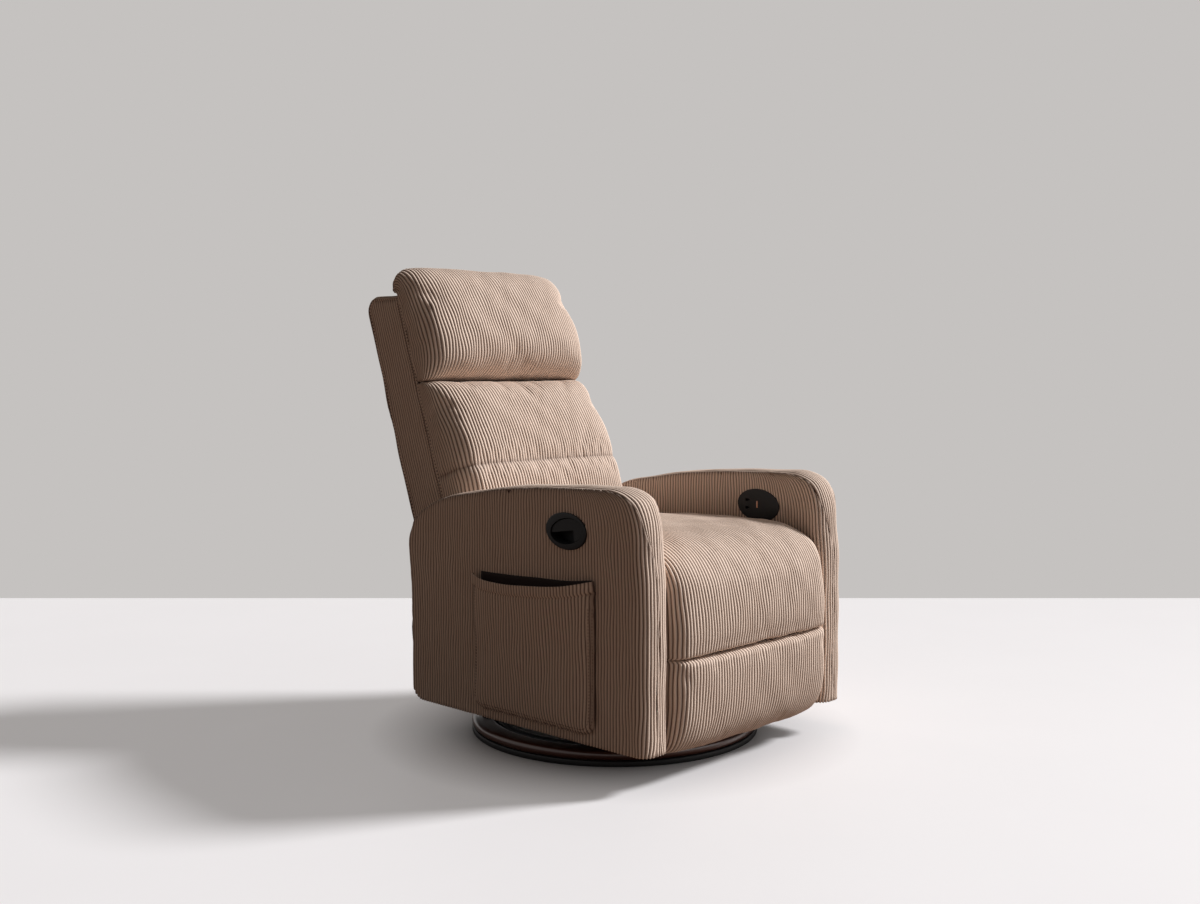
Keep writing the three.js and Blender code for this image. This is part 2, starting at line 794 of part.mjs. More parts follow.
function latchPaddle() {
  const halfLength = bezelHalfLength - bezelRim - cupWall - paddleClearance;
  const halfHeight = bezelHalfHeight - bezelRim - cupWall - paddleClearance;
  const x = [-chairHalfWidth - bezelProud / 2, -chairHalfWidth - bezelProud / 2 + paddleThickness];
  const whole = plateX(oval(halfLength, halfHeight, latchY, latchZ, -latchTilt), x);
  const legY = -halfLength + paddleLegWidth;
  const lowZ = halfHeight - paddleDrop;
  const slot = new THREE.Shape([
    [legY, lowZ], [legY, -halfHeight - overrun],
    [halfLength + overrun, -halfHeight - overrun], [halfLength + overrun, lowZ],
  ].map(([y, z]) => new THREE.Vector2(...tilted(y, z))));
  const through = [x[0] - overrun, x[1] + overrun];
  const paddle = cut(whole, plateX(slot, through));
  return piece('latch_paddle', join(paddle, latchPin(paddlePinRadius, paddlePinHalf)), blackPlastic);
}

function latchPawl() {
  const outer = -plateInnerX + runningGap + pawlThickness;
  const x = [-plateInnerX + runningGap, outer];
  const half = pawlWidth / 2;
  const bar = box(x, [pawlPivotY - pawlLength, pawlPivotY], [pawlPivotZ - half, pawlPivotZ + half]);
  const boss = rodX(half, x, pawlPivotY, pawlPivotZ);
  const pin = rodX(pawlPinRadius, [-plateOuterX, outer], pawlPivotY, pawlPivotZ);
  return piece('latch_pawl', join(bar, boss, pin), blackSteel);
}

// The release cable runs from the cup down the right arm and under the seat rail to the pawl.
const cableDropShares = [0.3, 0.75];
function releaseCable() {
  const startX = -chairHalfWidth + cupDepth + gap;
  const dropX = -armMiddleX;
  const fall = latchZ - cableHoleZ;
  const endX = -plateInnerX + runningGap + pawlThickness + gap + cableRadius;
  const points = [
    [startX, latchY, latchZ],
    [startX + cableRadius * 2, latchY, latchZ],
    [dropX, latchY, latchZ - fall * cableDropShares[0]],
    [dropX, cableHoleY, latchZ - fall * cableDropShares[1]],
    [dropX, cableHoleY, cableHoleZ + cableHoleRadius * 2],
    [-armInnerX - coverWall - frameWall, cableHoleY, cableHoleZ],
    [-armInnerX, cableHoleY, cableHoleZ],
    [-plateOuterX, cableHoleY, cableHoleZ],
    [endX, cableHoleY - cableHoleRadius * 2, cableHoleZ],
    [endX, sideRailFrontY, cableHoleZ + cableHoleRadius],
    [endX, pawlPivotY, pawlPivotZ - pawlWidth],
  ];
  return piece('release_cable', tubeAlong(points, cableRadius, cableSides, cableSteps), blackPlastic);
}

// Charging panel with two sockets and a light
function chargingPanel() {
  const face = armInnerX;
  const flange = plateX(oval(panelHalfLength, panelHalfHeight, panelY, panelZ, 0),
    [face - panelProud, face - gap]);
  const bodyOval = oval(
    panelHalfLength - panelBodyInset, panelHalfHeight - panelBodyInset, panelY, panelZ, 0,
  );
  const body = plateX(bodyOval, [face - panelProud, face + panelBodyDepth]);
  const sockets = [-1, 1].map((up) => {
    const y = panelY + socketOffsetY;
    const z = panelZ + up * socketOffsetZ;
    return box([face - panelProud - overrun, face - panelProud + socketDepth],
      [y - socketWidth / 2, y + socketWidth / 2], [z - socketHeight / 2, z + socketHeight / 2]);
  });
  const seat = box([face - panelProud - overrun, face - panelProud + lensDepth],
    [panelY - lensWidth / 2 - gap, panelY + lensWidth / 2 + gap],
    [panelZ - lensHeight / 2 - gap, panelZ + lensHeight / 2 + gap]);
  const lens = box([face - panelProud - lensProud, face - panelProud + lensDepth - gap],
    [panelY - lensWidth / 2, panelY + lensWidth / 2], [panelZ - lensHeight / 2, panelZ + lensHeight / 2]);
  return group(
    piece('charging_panel', cut(join(flange, body), ...sockets, seat), blackPlastic),
    piece('charging_light', lens, lensPlastic),
  );
}

// Rear skirt, the inlet on it and the harness to the charging panel
const harnessShares = [0.35, 0.75];
function rearSkirt() {
  const y = [armRearY - skirtSetback - skirtThickness, armRearY - skirtSetback];
  const holeRadius = inletRadius + gap;
  const hole = new THREE.CylinderGeometry(holeRadius, holeRadius, skirtThickness * 3, shaftSides);
  hole.translate(inletX, y[1], inletZ);
  const skirt = cut(box([-railOuterX, railOuterX], y, [skirtBottomZ, skirtTopZ]), hole);
  const body = new THREE.CylinderGeometry(inletRadius, inletRadius, inletDepth + skirtThickness, shaftSides);
  body.translate(inletX, y[1] + gap - (inletDepth + skirtThickness) / 2, inletZ);
  const bore = new THREE.CylinderGeometry(inletBore, inletBore, inletDepth * 2, shaftSides);
  bore.translate(inletX, y[1] + gap, inletZ);
  const inletRear = y[1] + gap - inletDepth - skirtThickness;
  const dropX = armMiddleX;
  const fall = panelZ - harnessHoleZ;
  const run = harnessHoleY - panelY;
  const points = [
    [armInnerX + panelBodyDepth + gap, panelY, panelZ],
    [dropX, panelY, panelZ],
    [dropX, panelY + run * harnessShares[0], panelZ - fall * harnessShares[0]],
    [dropX, panelY + run * harnessShares[1], panelZ - fall * harnessShares[1]],
    [dropX, harnessHoleY, harnessHoleZ + cableHoleRadius * 2],
    [armInnerX + coverWall + frameWall, harnessHoleY, harnessHoleZ],
    [armInnerX, harnessHoleY, harnessHoleZ],
    [armInnerX - cableHoleRadius * 2, harnessHoleY, harnessHoleZ],
    [inletX, inletRear - cableHoleRadius * 2, inletZ],
    [inletX, inletRear - gap, inletZ],
  ];
  return group(
    piece('rear_skirt', skirt, fabric),
    piece('power_inlet', cut(body, bore), blackPlastic),
    piece('power_harness', tubeAlong(points, cableRadius, cableSides, cableSteps), blackPlastic),
  );
}

// Seat cushion: flat on the deck, crowned on top, rolled over the nose and open behind the roll
// for the footrest's tube. Top: [share of the run to the pivot, share of the rise, share of the
// crown]. Nose: [share of the run past the pivot, share of the drop to it, share of the swell,
// share of the crown].
const seatTopShares = [
  [0, 0, 0.33], [0.18, 0.25, 1], [0.4, 0.78, 1], [0.64, 1, 1], [0.86, 1, 0.8],
];
const seatNoseShares = [
  [-0.2, 0.83, 0.3, 0.5], [0.51, 0.54, 0.7, 0.25], [0.86, 0.16, 0.9, 0], [0.97, -0.16, 0.9, 0],
  [1, -0.36, 0.6, 0],
];
const seatLipShares = [0.72, 0.78, 0.88];
function seatCushion() {
  const drop = seatFrontTopZ - footPivotZ;
  const run = footPivotY - seatNoseY;
  const rise = seatFrontTopZ - seatRearTopZ;
  const rearRun = seatRearY - footPivotY;
  const visible = [
    ...seatTopShares.map(([along, up, crown]) => (
      [seatRearY - rearRun * along, seatRearTopZ + rise * up, 0, seatCrown * crown]
    )),
    ...seatNoseShares.map(([along, up, swell, crown]) => (
      [footPivotY - run * along, footPivotZ + drop * up, -padSwell * swell, seatCrown * crown]
    )),
  ];
  const hidden = [
    [footPivotY - run * seatLipShares[0], footPivotZ - noseReach * seatLipShares[1], 0, 0],
    [footPivotY - lipRearDepth, footPivotZ - noseReach * seatLipShares[2], 0, 0],
    [footPivotY - lipRearDepth, seatDeckZ, 0, 0],
    [seatRearY, seatDeckZ, 0, 0],
  ];
  const form = stuffed(softProfile(visible, hidden, seatSamples), seatHalfWidth, endDraw);
  const across = [-seatHalfWidth - overrun, seatHalfWidth + overrun];
  const bore = rodX(bossRadius + boreClearance, across, footPivotY, footPivotZ);
  const slots = [-footArmX, footArmX].map((x) => box(
    [x - footArmThickness / 2 - armSlotClearance, x + footArmThickness / 2 + armSlotClearance],
    [footPivotY - noseReach - overrun, footPivotY],
    [footPivotZ - noseReach - overrun, footPivotZ + tubeRadius],
  ));
  return piece('seat_cushion', cut(form, bore, ...slots), fabric);
}

// Footrest, hanging down at rest. Its front face has a sewn seam across it. Points above the
// seam and at it: [share of the swell forward, share of the seam's height]. Points below it:
// [share of the pad's depth back, share of the seam's height up, share of the swell].
const padSeamShares = [[0.2, 0.16], [-0.2, 0.03], [-0.9, 0], [-0.2, -0.03], [0.2, -0.18]];
const padFootShares = [[-0.03, 0.5, 1], [0.12, 0.22, 0.9], [0.3, 0.06, 0.6]];
function footrestPad() {
  const front = footPivotY - padFrontDepth;
  const arcRadius = noseReach + noseClearance;
  const backY = footPivotY - boardSetback - boardThickness - gap;
  const lipZ = footPivotZ - Math.sqrt(arcRadius ** 2 - (padFrontDepth + padSwell) ** 2);
  const seam = padSeamZ - padBottomZ;
  const visible = [
    [front, lipZ - noseClearance, -padSwell, 0],
    ...padSeamShares.map(([out, up]) => [front - padSwell * out, padSeamZ + seam * up, -padSwell, 0]),
    ...padFootShares.map(([back, up, swell]) => (
      [front + padFrontDepth * back, padBottomZ + seam * up, -padSwell * swell, 0]
    )),
    [backY - boardThickness, padBottomZ, 0, 0],
  ];
  const hidden = [[backY, padBottomZ, 0, 0]];
  for (let i = 0; i <= arcSteps; i += 1) {
    const depth = footPivotY - backY + ((padFrontDepth - footPivotY + backY) * i) / (arcSteps + 1);
    hidden.push([footPivotY - depth, footPivotZ - Math.sqrt(arcRadius ** 2 - depth ** 2), 0, 0]);
  }
  const form = stuffed(softProfile(visible, hidden, padSamples), seatHalfWidth, endDraw);
  const across = [-seatHalfWidth - overrun, seatHalfWidth + overrun];
  const sweep = rodX(arcRadius, across, footPivotY, footPivotZ, ringSides);
  return piece('footrest_pad', cut(form, sweep), fabric);
}

function footrest() {
  const boardFrontY = footPivotY - boardSetback - boardThickness;
  const boardHalf = seatHalfWidth - boardInset;
  const board = box([-boardHalf, boardHalf], [boardFrontY, boardFrontY + boardThickness],
    [padBottomZ + boardInset, footPivotZ - boardTopDrop]);
  const armY = [footPivotY - boardSetback + gap, footPivotY - boardSetback + gap + footArmDepth];
  const arms = [['left', footArmX], ['right', -footArmX]].map(([name, x]) => {
    const across = [x - footArmThickness / 2, x + footArmThickness / 2];
    const bar = box(across, armY, [footPivotZ - footArmLength, footPivotZ]);
    const boss = rodX(bossRadius, across, footPivotY, footPivotZ);
    const through = [across[0] - overrun, across[1] + overrun];
    const hole = rodX(tubeRadius + gap, through, footPivotY, footPivotZ);
    return piece(`footrest_arm_${name}`, cut(join(bar, boss), hole), blackSteel);
  });
  const tube = join(
    rodX(tubeRadius, [-crossRailHalf, crossRailHalf], footPivotY, footPivotZ),
    rodX(shaftRadius, [-plateOuterX - gap, plateOuterX + gap], footPivotY, footPivotZ),
  );
  return group(
    piece('footrest_tube', tube, blackSteel),
    ...arms,
    piece('footrest_board', board, timber),
    footrestPad(),
  );
}

// Back, in its own frame: Y is depth to the rear, Z runs up the back
function backOutline(inset) {
  const rear = backRearDepth - inset;
  const top = backTopUp - inset;
  const slope = Math.tan(backLean);
  const depth = backFrontDepth + backRearDepth;
  return [
    [-backFrontDepth, -backFootDrop, backCornerRadius / 4],
    [rear - backFrontDepth, -backFootDrop, backCornerRadius / 4],
    [rear, backTopUp * 0.35, backTopUp],
    [rear - backFrontDepth / 4, top, backCornerRadius],
    [-backFrontDepth, top - depth * slope, backCornerRadius / 4],
  ];
}

function backSide(side) {
  const x = onSide(side, backSideInnerX, backHalfWidth);
  return plateX(rounded(backOutline(0)), x);
}

function backPanel() {
  const across = [-backSideInnerX + gap, backSideInnerX - gap];
  const outer = plateX(rounded(backOutline(0)), across);
  const wide = [across[0] - overrun, across[1] + overrun];
  const inner = backOutline(backPanelThickness);
  inner[0][0] -= overrun;
  inner[0][1] -= overrun;
  inner[1][1] -= overrun;
  inner[4][0] -= overrun;
  inner[4][1] -= overrun * Math.tan(backLean);
  return cut(outer, plateX(rounded(inner), wide));
}

function backCushion(baseUp, height, depth, swell, visibleShares, hiddenShares, topSwell) {
  const place = ([deep, up, out, lift]) => [
    -cushionBackDepth - deep * depth, baseUp + up * height, -out * swell, lift * topSwell,
  ];
  const profile = softProfile(visibleShares.map(place), hiddenShares.map(place), backSamples);
  return stuffed(profile, backHalfWidth, endDraw);
}

// [share of the depth, share of the height, share of the swell, share of the top's swell]
const headShares = [
  [0.3, -0.01, 0.1, 0], [0.6, 0.015, 0.4, 0], [0.88, 0.1, 0.88, 0], [1, 0.24, 1, 0],
  [0.93, 0.43, 1, 0], [0.7, 0.66, 0.94, 0.2], [0.48, 0.855, 0.76, 0.55], [0.16, 0.965, 0.35, 0.9],
  [-0.22, 1, 0, 1], [-0.45, 0.95, -0.1, 0.6], [-0.46, 0.87, 0, 0.1],
];
const headHiddenShares = [[-0.43, 0.835, 0, 0], [0, 0.79, 0, 0], [0, 0, 0, 0]];
const lumbarShares = [
  [0.5, 0, 0.2, 0], [0.84, 0.03, 0.5, 0], [0.98, 0.1, 0.7, 0], [1, 0.2, 0.8, 0],
  [0.98, 0.32, 0.75, 0], [0.9, 0.378, 0.45, 0], [0.96, 0.43, 0.7, 0], [0.9, 0.57, 0.86, 0],
  [0.64, 0.79, 1, 0], [0.45, 0.935, 0.7, 0], [0.3, 0.985, 0.25, 0],
];
const lumbarHiddenShares = [[0, 1, 0, 0], [0, 0, 0, 0]];

function backBracket(side) {
  const x = onSide(side, bracketInnerX, bracketOuterX);
  const bar = box(x, [-bossRadius / 2, bracketWidth - bossRadius / 2], [0, bracketLength]);
  const boss = rodX(bossRadius, x, 0, 0);
  const pin = rodX(shaftRadius, onSide(side, plateInnerX - runningGap, bracketOuterX), 0, 0);
  return join(bar, boss, pin);
}

function back() {
  const across = [-bracketInnerX + gap, bracketInnerX - gap];
  const wide = [-backSideInnerX + gap, backSideInnerX - gap];
  const lowerRail = box(across, [0, railDepth], [lowerRailUp, lowerRailUp + railUpHeight]);
  const upperRail = box(wide, [0, railDepth], [upperRailUp, upperRailUp + railUpHeight]);
  const straps = [];
  for (let i = 0; i < strapCount; i += 1) {
    const up = strapFirstUp + i * strapPitch;
    const half = up < bracketLength ? across : wide;
    const strap = box(half, [-backFrontDepth, -backFrontDepth + strapThickness], [up, up + strapWidth]);
    straps.push(piece(`back_strap_${i + 1}`, strap, webbing));
  }
  const head = backCushion(
    headBaseUp, headHeight, headDepth, headSwell, headShares, headHiddenShares, headTopSwell,
  );
  const lumbar = backCushion(
    lumbarBaseUp, lumbarHeight, lumbarDepth, lumbarSwell, lumbarShares, lumbarHiddenShares, 0,
  );
  const leaning = group(
    piece('back_side_left', backSide(1), fabric),
    piece('back_side_right', backSide(-1), fabric),
    piece('back_outer_panel', backPanel(), fabric),
    piece('back_rail_lower', lowerRail, timber),
    piece('back_rail_upper', upperRail, timber),
    ...straps,
    piece('recline_bracket_left', backBracket(1), blackSteel),
    piece('recline_bracket_right', backBracket(-1), blackSteel),
    piece('head_cushion', head, fabric),
    piece('lumbar_cushion', lumbar, fabric),
  );
  leaning.position.set(0, reclineY, reclineZ);
  leaning.rotation.x = -backLean;
  return leaning;
}

const recliner = group(
  baseRing(),
  turntable(),
  links(),
  seatFrame(),
  arm(1),
  arm(-1),
  sidePocket(),
  latchCup(),
  latchPaddle(),
  latchPawl(),
  releaseCable(),
  chargingPanel(),
  rearSkirt(),
  seatCushion(),
  footrest(),
  back(),
);

// The pocket stands out on the right, and the back reaches further than the footrest.
const backReach = backRearDepth * Math.cos(backLean) + (backTopUp - backCornerRadius) * Math.sin(backLean);
const rearReach = reclineY + backReach;
const frontReach = footPivotY - padFrontDepth - padSwell;
recliner.position.set((pocketMouth + gap) / 2, -(rearReach + frontReach) / 2, 0);
recliner.updateMatrixWorld(true);

export default recliner;
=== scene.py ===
"""A swivel glider recliner in wide-wale corduroy: its upholstery, trim and finishes, built
around the frame that holds its structure. Lengths are millimetres from the swivel axis at the
floor until a piece is made, and the back is drawn in its own leaning frame."""

import json
import math

import bmesh
import bpy
import numpy as np
from bpy.props import FloatProperty, FloatVectorProperty, PointerProperty
from mathutils import Matrix, Vector


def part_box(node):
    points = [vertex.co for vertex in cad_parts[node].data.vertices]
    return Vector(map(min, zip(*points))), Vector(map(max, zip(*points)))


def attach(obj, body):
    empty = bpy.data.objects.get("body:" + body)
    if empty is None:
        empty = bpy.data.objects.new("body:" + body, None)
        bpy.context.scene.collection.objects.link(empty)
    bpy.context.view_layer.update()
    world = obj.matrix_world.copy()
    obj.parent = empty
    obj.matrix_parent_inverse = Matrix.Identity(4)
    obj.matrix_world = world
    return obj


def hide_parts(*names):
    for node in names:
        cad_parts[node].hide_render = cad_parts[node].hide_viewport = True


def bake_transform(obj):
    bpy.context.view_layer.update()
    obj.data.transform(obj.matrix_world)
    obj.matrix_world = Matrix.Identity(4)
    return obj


bl_info = {
    "name": "Glider recliner upholstery",
    "version": (1, 0, 0),
    "blender": (4, 5, 0),
    "location": "3D View > Sidebar > Recliner",
    "description": "Builds the corduroy upholstery, trim and finishes of a swivel glider recliner",
    "category": "Object",
}

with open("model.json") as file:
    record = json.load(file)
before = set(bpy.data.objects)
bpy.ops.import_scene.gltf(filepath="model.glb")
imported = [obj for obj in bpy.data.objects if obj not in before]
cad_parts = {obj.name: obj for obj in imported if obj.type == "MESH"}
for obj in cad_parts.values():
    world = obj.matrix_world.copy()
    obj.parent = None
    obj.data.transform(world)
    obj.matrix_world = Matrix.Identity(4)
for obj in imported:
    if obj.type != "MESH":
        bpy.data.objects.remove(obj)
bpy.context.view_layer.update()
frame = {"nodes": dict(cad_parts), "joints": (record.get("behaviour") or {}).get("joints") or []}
MM = 0.001

# Places read from the frame
RING_LOW, RING_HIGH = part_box("base_ring")
SWIVEL = np.array([(RING_LOW.x + RING_HIGH.x) / 2, (RING_LOW.y + RING_HIGH.y) / 2, 0.0])


def to_frame(points):
    """Millimetres from the swivel axis as the frame's metres."""
    return np.asarray(points) * MM + SWIVEL


def in_mm(points):
    """The frame's metres as millimetres from the swivel axis."""
    return (np.array(points) - SWIVEL) / MM


def edges(node):
    """The lowest and highest corner of a frame node, in millimetres from the swivel axis."""
    return in_mm(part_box(node))


(ARM_INNER, ARM_FRONT, ARM_BOTTOM), (ARM_OUTER, ARM_REAR, _) = edges("arm_cover_left")
ARM_HALF = (ARM_OUTER - ARM_INNER) / 2
CUSHION_HALF = edges("seat_cushion")[1][0]
BACK_PIVOT = in_mm(next(j["pos_m"] for j in frame["joints"] if j["name"] == "back_recline"))
BACK_LEAN = math.radians(19)

# Corduroy
RIB_STEPS = 5
RIB_SHARPNESS = 0.6
SEAM_OFFSETS = np.array([-7, -4, -2, 0, 2, 4, 7])
SEAM_CLEAR = 9
ROW_STEP = 8
# How far it wanders sideways and more so at seams, swells, and gathers at seams
WANDER, SEAM_WANDER, SWELL, GATHER = 0.9, 0.7, 0.7, 1.7

# Trimmings
WELT_RADIUS = 1.6
WELT_SIDES = 8

# The cushions' simulation
SIM_STEP = 17
SIM_FRAMES = 20
PRESSURE = 4


def unit(vectors):
    return vectors / np.maximum(np.linalg.norm(vectors, axis=-1, keepdims=True), 1e-9)


def between(values, knots, places):
    """Smooth values at places along the first axis, from the values at knots."""
    values = np.asarray(values, float)
    shape = (-1,) + (1,) * (values.ndim - 1)
    gaps = np.diff(knots)
    wide = gaps.reshape(shape)
    slopes = np.diff(values, axis=0) / wide
    inner = (slopes[:-1] * wide[1:] + slopes[1:] * wide[:-1]) / (wide[1:] + wide[:-1])
    tangents = np.concatenate([slopes[:1], inner, slopes[-1:]])
    i = np.clip(np.searchsorted(knots, places, side="right") - 1, 0, len(gaps) - 1)
    g = wide[i]
    t = ((places - knots[i]) / gaps[i]).reshape(shape)
    return (
        (2 * t**3 - 3 * t**2 + 1) * values[i]
        + (t**3 - 2 * t**2 + t) * g * tangents[i]
        + (3 * t**2 - 2 * t**3) * values[i + 1]
        + (t**3 - t**2) * g * tangents[i + 1]
    )


def curve(points, spans=16, lead=2):
    """The points joined by a smooth line, spans steps between each two."""
    points = np.asarray(points, float)
    gaps = np.linalg.norm(np.diff(points[:, :lead], axis=0), axis=1)
    knots = np.concatenate([[0], np.cumsum(np.sqrt(np.maximum(gaps, 1e-6)))])
    shares = np.linspace(0, len(points) - 1, (len(points) - 1) * spans + 1)
    return between(points, knots, np.interp(shares, np.arange(len(points)), knots))


def run_of(line, lead=2):
    """How far along a line each of its points lies."""
    gaps = np.linalg.norm(np.diff(line[:, :lead], axis=0), axis=1)
    return np.concatenate([[0], np.cumsum(gaps)])


def at_run(line, places, lead=2):
    """The line's values at places along it."""
    run = run_of(line, lead)
    return np.stack([np.interp(places, run, column) for column in line.T], axis=-1)


def stations(length, step, marks=(), offsets=SEAM_OFFSETS, clear=SEAM_CLEAR):
    """Places along a run: even steps, with set ones on both sides of each mark."""
    places = np.linspace(0, length, max(2, round(length / step)) + 1)
    for mark in marks:
        places = places[np.abs(places - mark) > clear]
        places = np.concatenate([places, mark + offsets])
    places = np.unique(np.clip(places, 0, length).round(3))
    return places


def ripple(a, b, seed, count=6):
    """Smooth noise of about -1 to 1 over two coordinates whose own period is 1."""
    draw = np.random.RandomState(seed)
    total = 0
    for _ in range(count):
        fa, fb = draw.uniform(0.5, 1.5, 2) * draw.choice([-1, 1], 2)
        total = total + np.sin(2 * np.pi * (a * fa + b * fb + draw.uniform()))
    return total / math.sqrt(count)


def leaned(points):
    """Points given as x, depth behind the pivot plane and height up the back, set at its lean."""
    x, depth, up = np.moveaxis(np.asarray(points, float), -1, 0)
    y = BACK_PIVOT[1] + depth * math.cos(BACK_LEAN) + up * math.sin(BACK_LEAN)
    z = BACK_PIVOT[2] - depth * math.sin(BACK_LEAN) + up * math.cos(BACK_LEAN)
    return np.stack([x, y, z], axis=-1)


def wale_line(low, high, cloth):
    """The number of wales between two places, and the places of the mesh's columns."""
    wales = round((high - low) / (cloth.wale / MM))
    return wales, np.linspace(low, high, wales * RIB_STEPS + 1)


def rounded(s, flat, corner):
    """x, and the angle turned, at places along a line that bends round a corner on each side."""
    turn = np.clip((np.abs(s) - flat) / corner, 0, math.pi / 2)
    return np.sign(s) * (np.minimum(np.abs(s), flat) + corner * np.sin(turn)), turn


def beside(path):
    """The direction to the right of a path at each of its points."""
    ahead = unit(np.gradient(path, axis=0))
    return np.column_stack([ahead[:, 1], -ahead[:, 0]])


def with_x(x, rest):
    """Points made of x and the other two coordinates."""
    return np.concatenate([np.broadcast_to(x, rest.shape[:2])[..., None], rest], axis=2)


# Meshes
def grid_quads(rows, cols):
    index = np.arange(rows * cols).reshape(rows, cols)
    return np.stack([index[:-1, :-1], index[:-1, 1:], index[1:, 1:], index[1:, :-1]], -1).reshape(-1, 4)


def loop_faces(rows, cols):
    """Faces of a tube whose rows are closed loops, with a cap at each end."""
    index = np.arange(rows * cols).reshape(rows, cols)
    after = np.roll(index, -1, axis=1)
    quads = np.stack([index[:-1], after[:-1], after[1:], index[1:]], -1).reshape(-1, 4)
    return quads.tolist() + [index[0][::-1].tolist(), index[-1].tolist()]


def new_piece(name, mesh):
    piece = bpy.data.objects.new(name, mesh)
    bpy.context.scene.collection.objects.link(piece)
    return piece


def turned_out(mesh):
    """Points a closed mesh's faces outwards and shades them smooth."""
    bm = bmesh.new()
    bm.from_mesh(mesh)
    bmesh.ops.recalc_face_normals(bm, faces=bm.faces[:])
    bm.to_mesh(mesh)
    bm.free()
    mesh.shade_smooth()


def cloth_mesh(name, points, faces, weave):
    mesh = bpy.data.meshes.new(name)
    mesh.from_pydata(to_frame(points).tolist(), [], faces)
    layer = mesh.attributes.new("weave", "FLOAT_VECTOR", "POINT")
    layer.data.foreach_set("vector", np.asarray(weave, np.float32).ravel())
    return mesh


def closed_piece(name, grid, weave, closure):
    """A piece from a ribbed grid whose rows are closed behind by the points of closure."""
    loops = np.concatenate([grid, closure], axis=1)
    behind = np.repeat(weave[:, :1], closure.shape[1], axis=1)
    threads = np.concatenate([weave, behind], axis=1)
    faces = loop_faces(*loops.shape[:2])
    mesh = cloth_mesh(name, loops.reshape(-1, 3), faces, threads.reshape(-1, 3))
    turned_out(mesh)
    return new_piece(name, mesh)


def backed_piece(name, grid, weave, back, drop=None):
    """A piece from a ribbed grid, closed by walls from its edges to points given by back(points).
    drop says which points fall in a hole, and pulls the hole's rim onto its outline."""
    points = grid.reshape(-1, 3)
    faces = quads = grid_quads(*grid.shape[:2])
    if drop is not None:
        inside = drop(points[quads].mean(axis=1))[0]
        faces = quads[~inside]
        used, rim = np.zeros((2, len(points)), bool)
        used[faces] = True
        rim[quads[inside]] = True
        rim &= used
        points = points.copy()
        points[rim] = drop(points[rim])[1]
    mesh = cloth_mesh(name, points, faces.tolist(), weave.reshape(-1, 3))
    bm = bmesh.new()
    bm.from_mesh(mesh)
    bmesh.ops.delete(bm, geom=[v for v in bm.verts if not v.link_faces], context="VERTS")
    rims = [e for e in bm.edges if e.is_boundary]
    made = bmesh.ops.extrude_edge_only(bm, edges=rims)["geom"]
    ends = [g for g in made if isinstance(g, bmesh.types.BMVert)]
    for vert, place in zip(ends, to_frame(back(in_mm([v.co for v in ends])))):
        vert.co = place
    rims = [g for g in made if isinstance(g, bmesh.types.BMEdge) and g.is_boundary]
    bmesh.ops.triangle_fill(bm, use_beauty=True, use_dissolve=False, edges=rims)
    bmesh.ops.recalc_face_normals(bm, faces=bm.faces[:])
    bm.to_mesh(mesh)
    bm.free()
    mesh.shade_smooth()
    return new_piece(name, mesh)


def doubled(name, front, back, weave):
    """A two-sided cloth piece from its outer and inner grids."""
    rows, cols = front.shape[:2]
    index = np.arange(rows * cols).reshape(rows, cols)
    rim = np.concatenate([index[0], index[1:, -1], index[-1, -2::-1], index[-2:0:-1, 0]])
    after = np.roll(rim, -1)
    walls = np.stack([rim, after, after + index.size, rim + index.size], -1)
    quads = grid_quads(rows, cols)
    faces = np.concatenate([quads, quads[:, ::-1] + index.size, walls])
    points = np.concatenate([front.reshape(-1, 3), back.reshape(-1, 3)])
    threads = np.concatenate([weave.reshape(-1, 3)] * 2)
    mesh = cloth_mesh(name, points, faces.tolist(), threads)
    turned_out(mesh)
    return new_piece(name, mesh)


STITCH_LENGTH = 4.4
STITCH_GAP = 2.0
STITCH_RADIUS = 0.7
STITCH_SIDES = 5
STITCH_SWELL = np.array([0.35, 0.9, 1.0, 0.9, 0.35])
STITCH_RISE = 0.5


def stitches(name, line, out, body):
    """Thread along a line of points, in short raised stitches that lie on the cloth."""
    length = run_of(line, 3)[-1]
    count = int(length // (STITCH_LENGTH + STITCH_GAP))
    steps = np.linspace(0, 1, len(STITCH_SWELL))
    places = ((np.arange(count) + 0.2) * length / count)[:, None] + steps * STITCH_LENGTH
    up = np.array(out, float)
    centre = at_run(line, places, 3) + up * (STITCH_RISE * np.sin(np.pi * steps))[:, None]
    side = np.cross(unit(np.gradient(centre, axis=1)), up)
    turn = np.linspace(0, 2 * np.pi, STITCH_SIDES, endpoint=False)[:, None]
    spokes = side[:, :, None] * np.cos(turn) + up * np.sin(turn)
    loops = centre[:, :, None] + spokes * (STITCH_RADIUS * STITCH_SWELL)[:, None, None]
    size = len(steps) * STITCH_SIDES
    one = loop_faces(len(steps), STITCH_SIDES)
    faces = [[v + size * i for v in face] for i in range(count) for face in one]
    mesh = bpy.data.meshes.new(name)
    mesh.from_pydata(to_frame(loops.reshape(-1, 3)).tolist(), [], faces)
    turned_out(mesh)
    return fitted(new_piece(name, mesh), body, finish="stitching")


def facing(grid, heart):
    """The directions across a grid's columns and out of it, away from its heart."""
    across = unit(np.gradient(grid, axis=1))
    out = unit(np.cross(across, unit(np.gradient(grid, axis=0))))
    return across, out if np.sum(out * (grid - heart)) >= 0 else -out


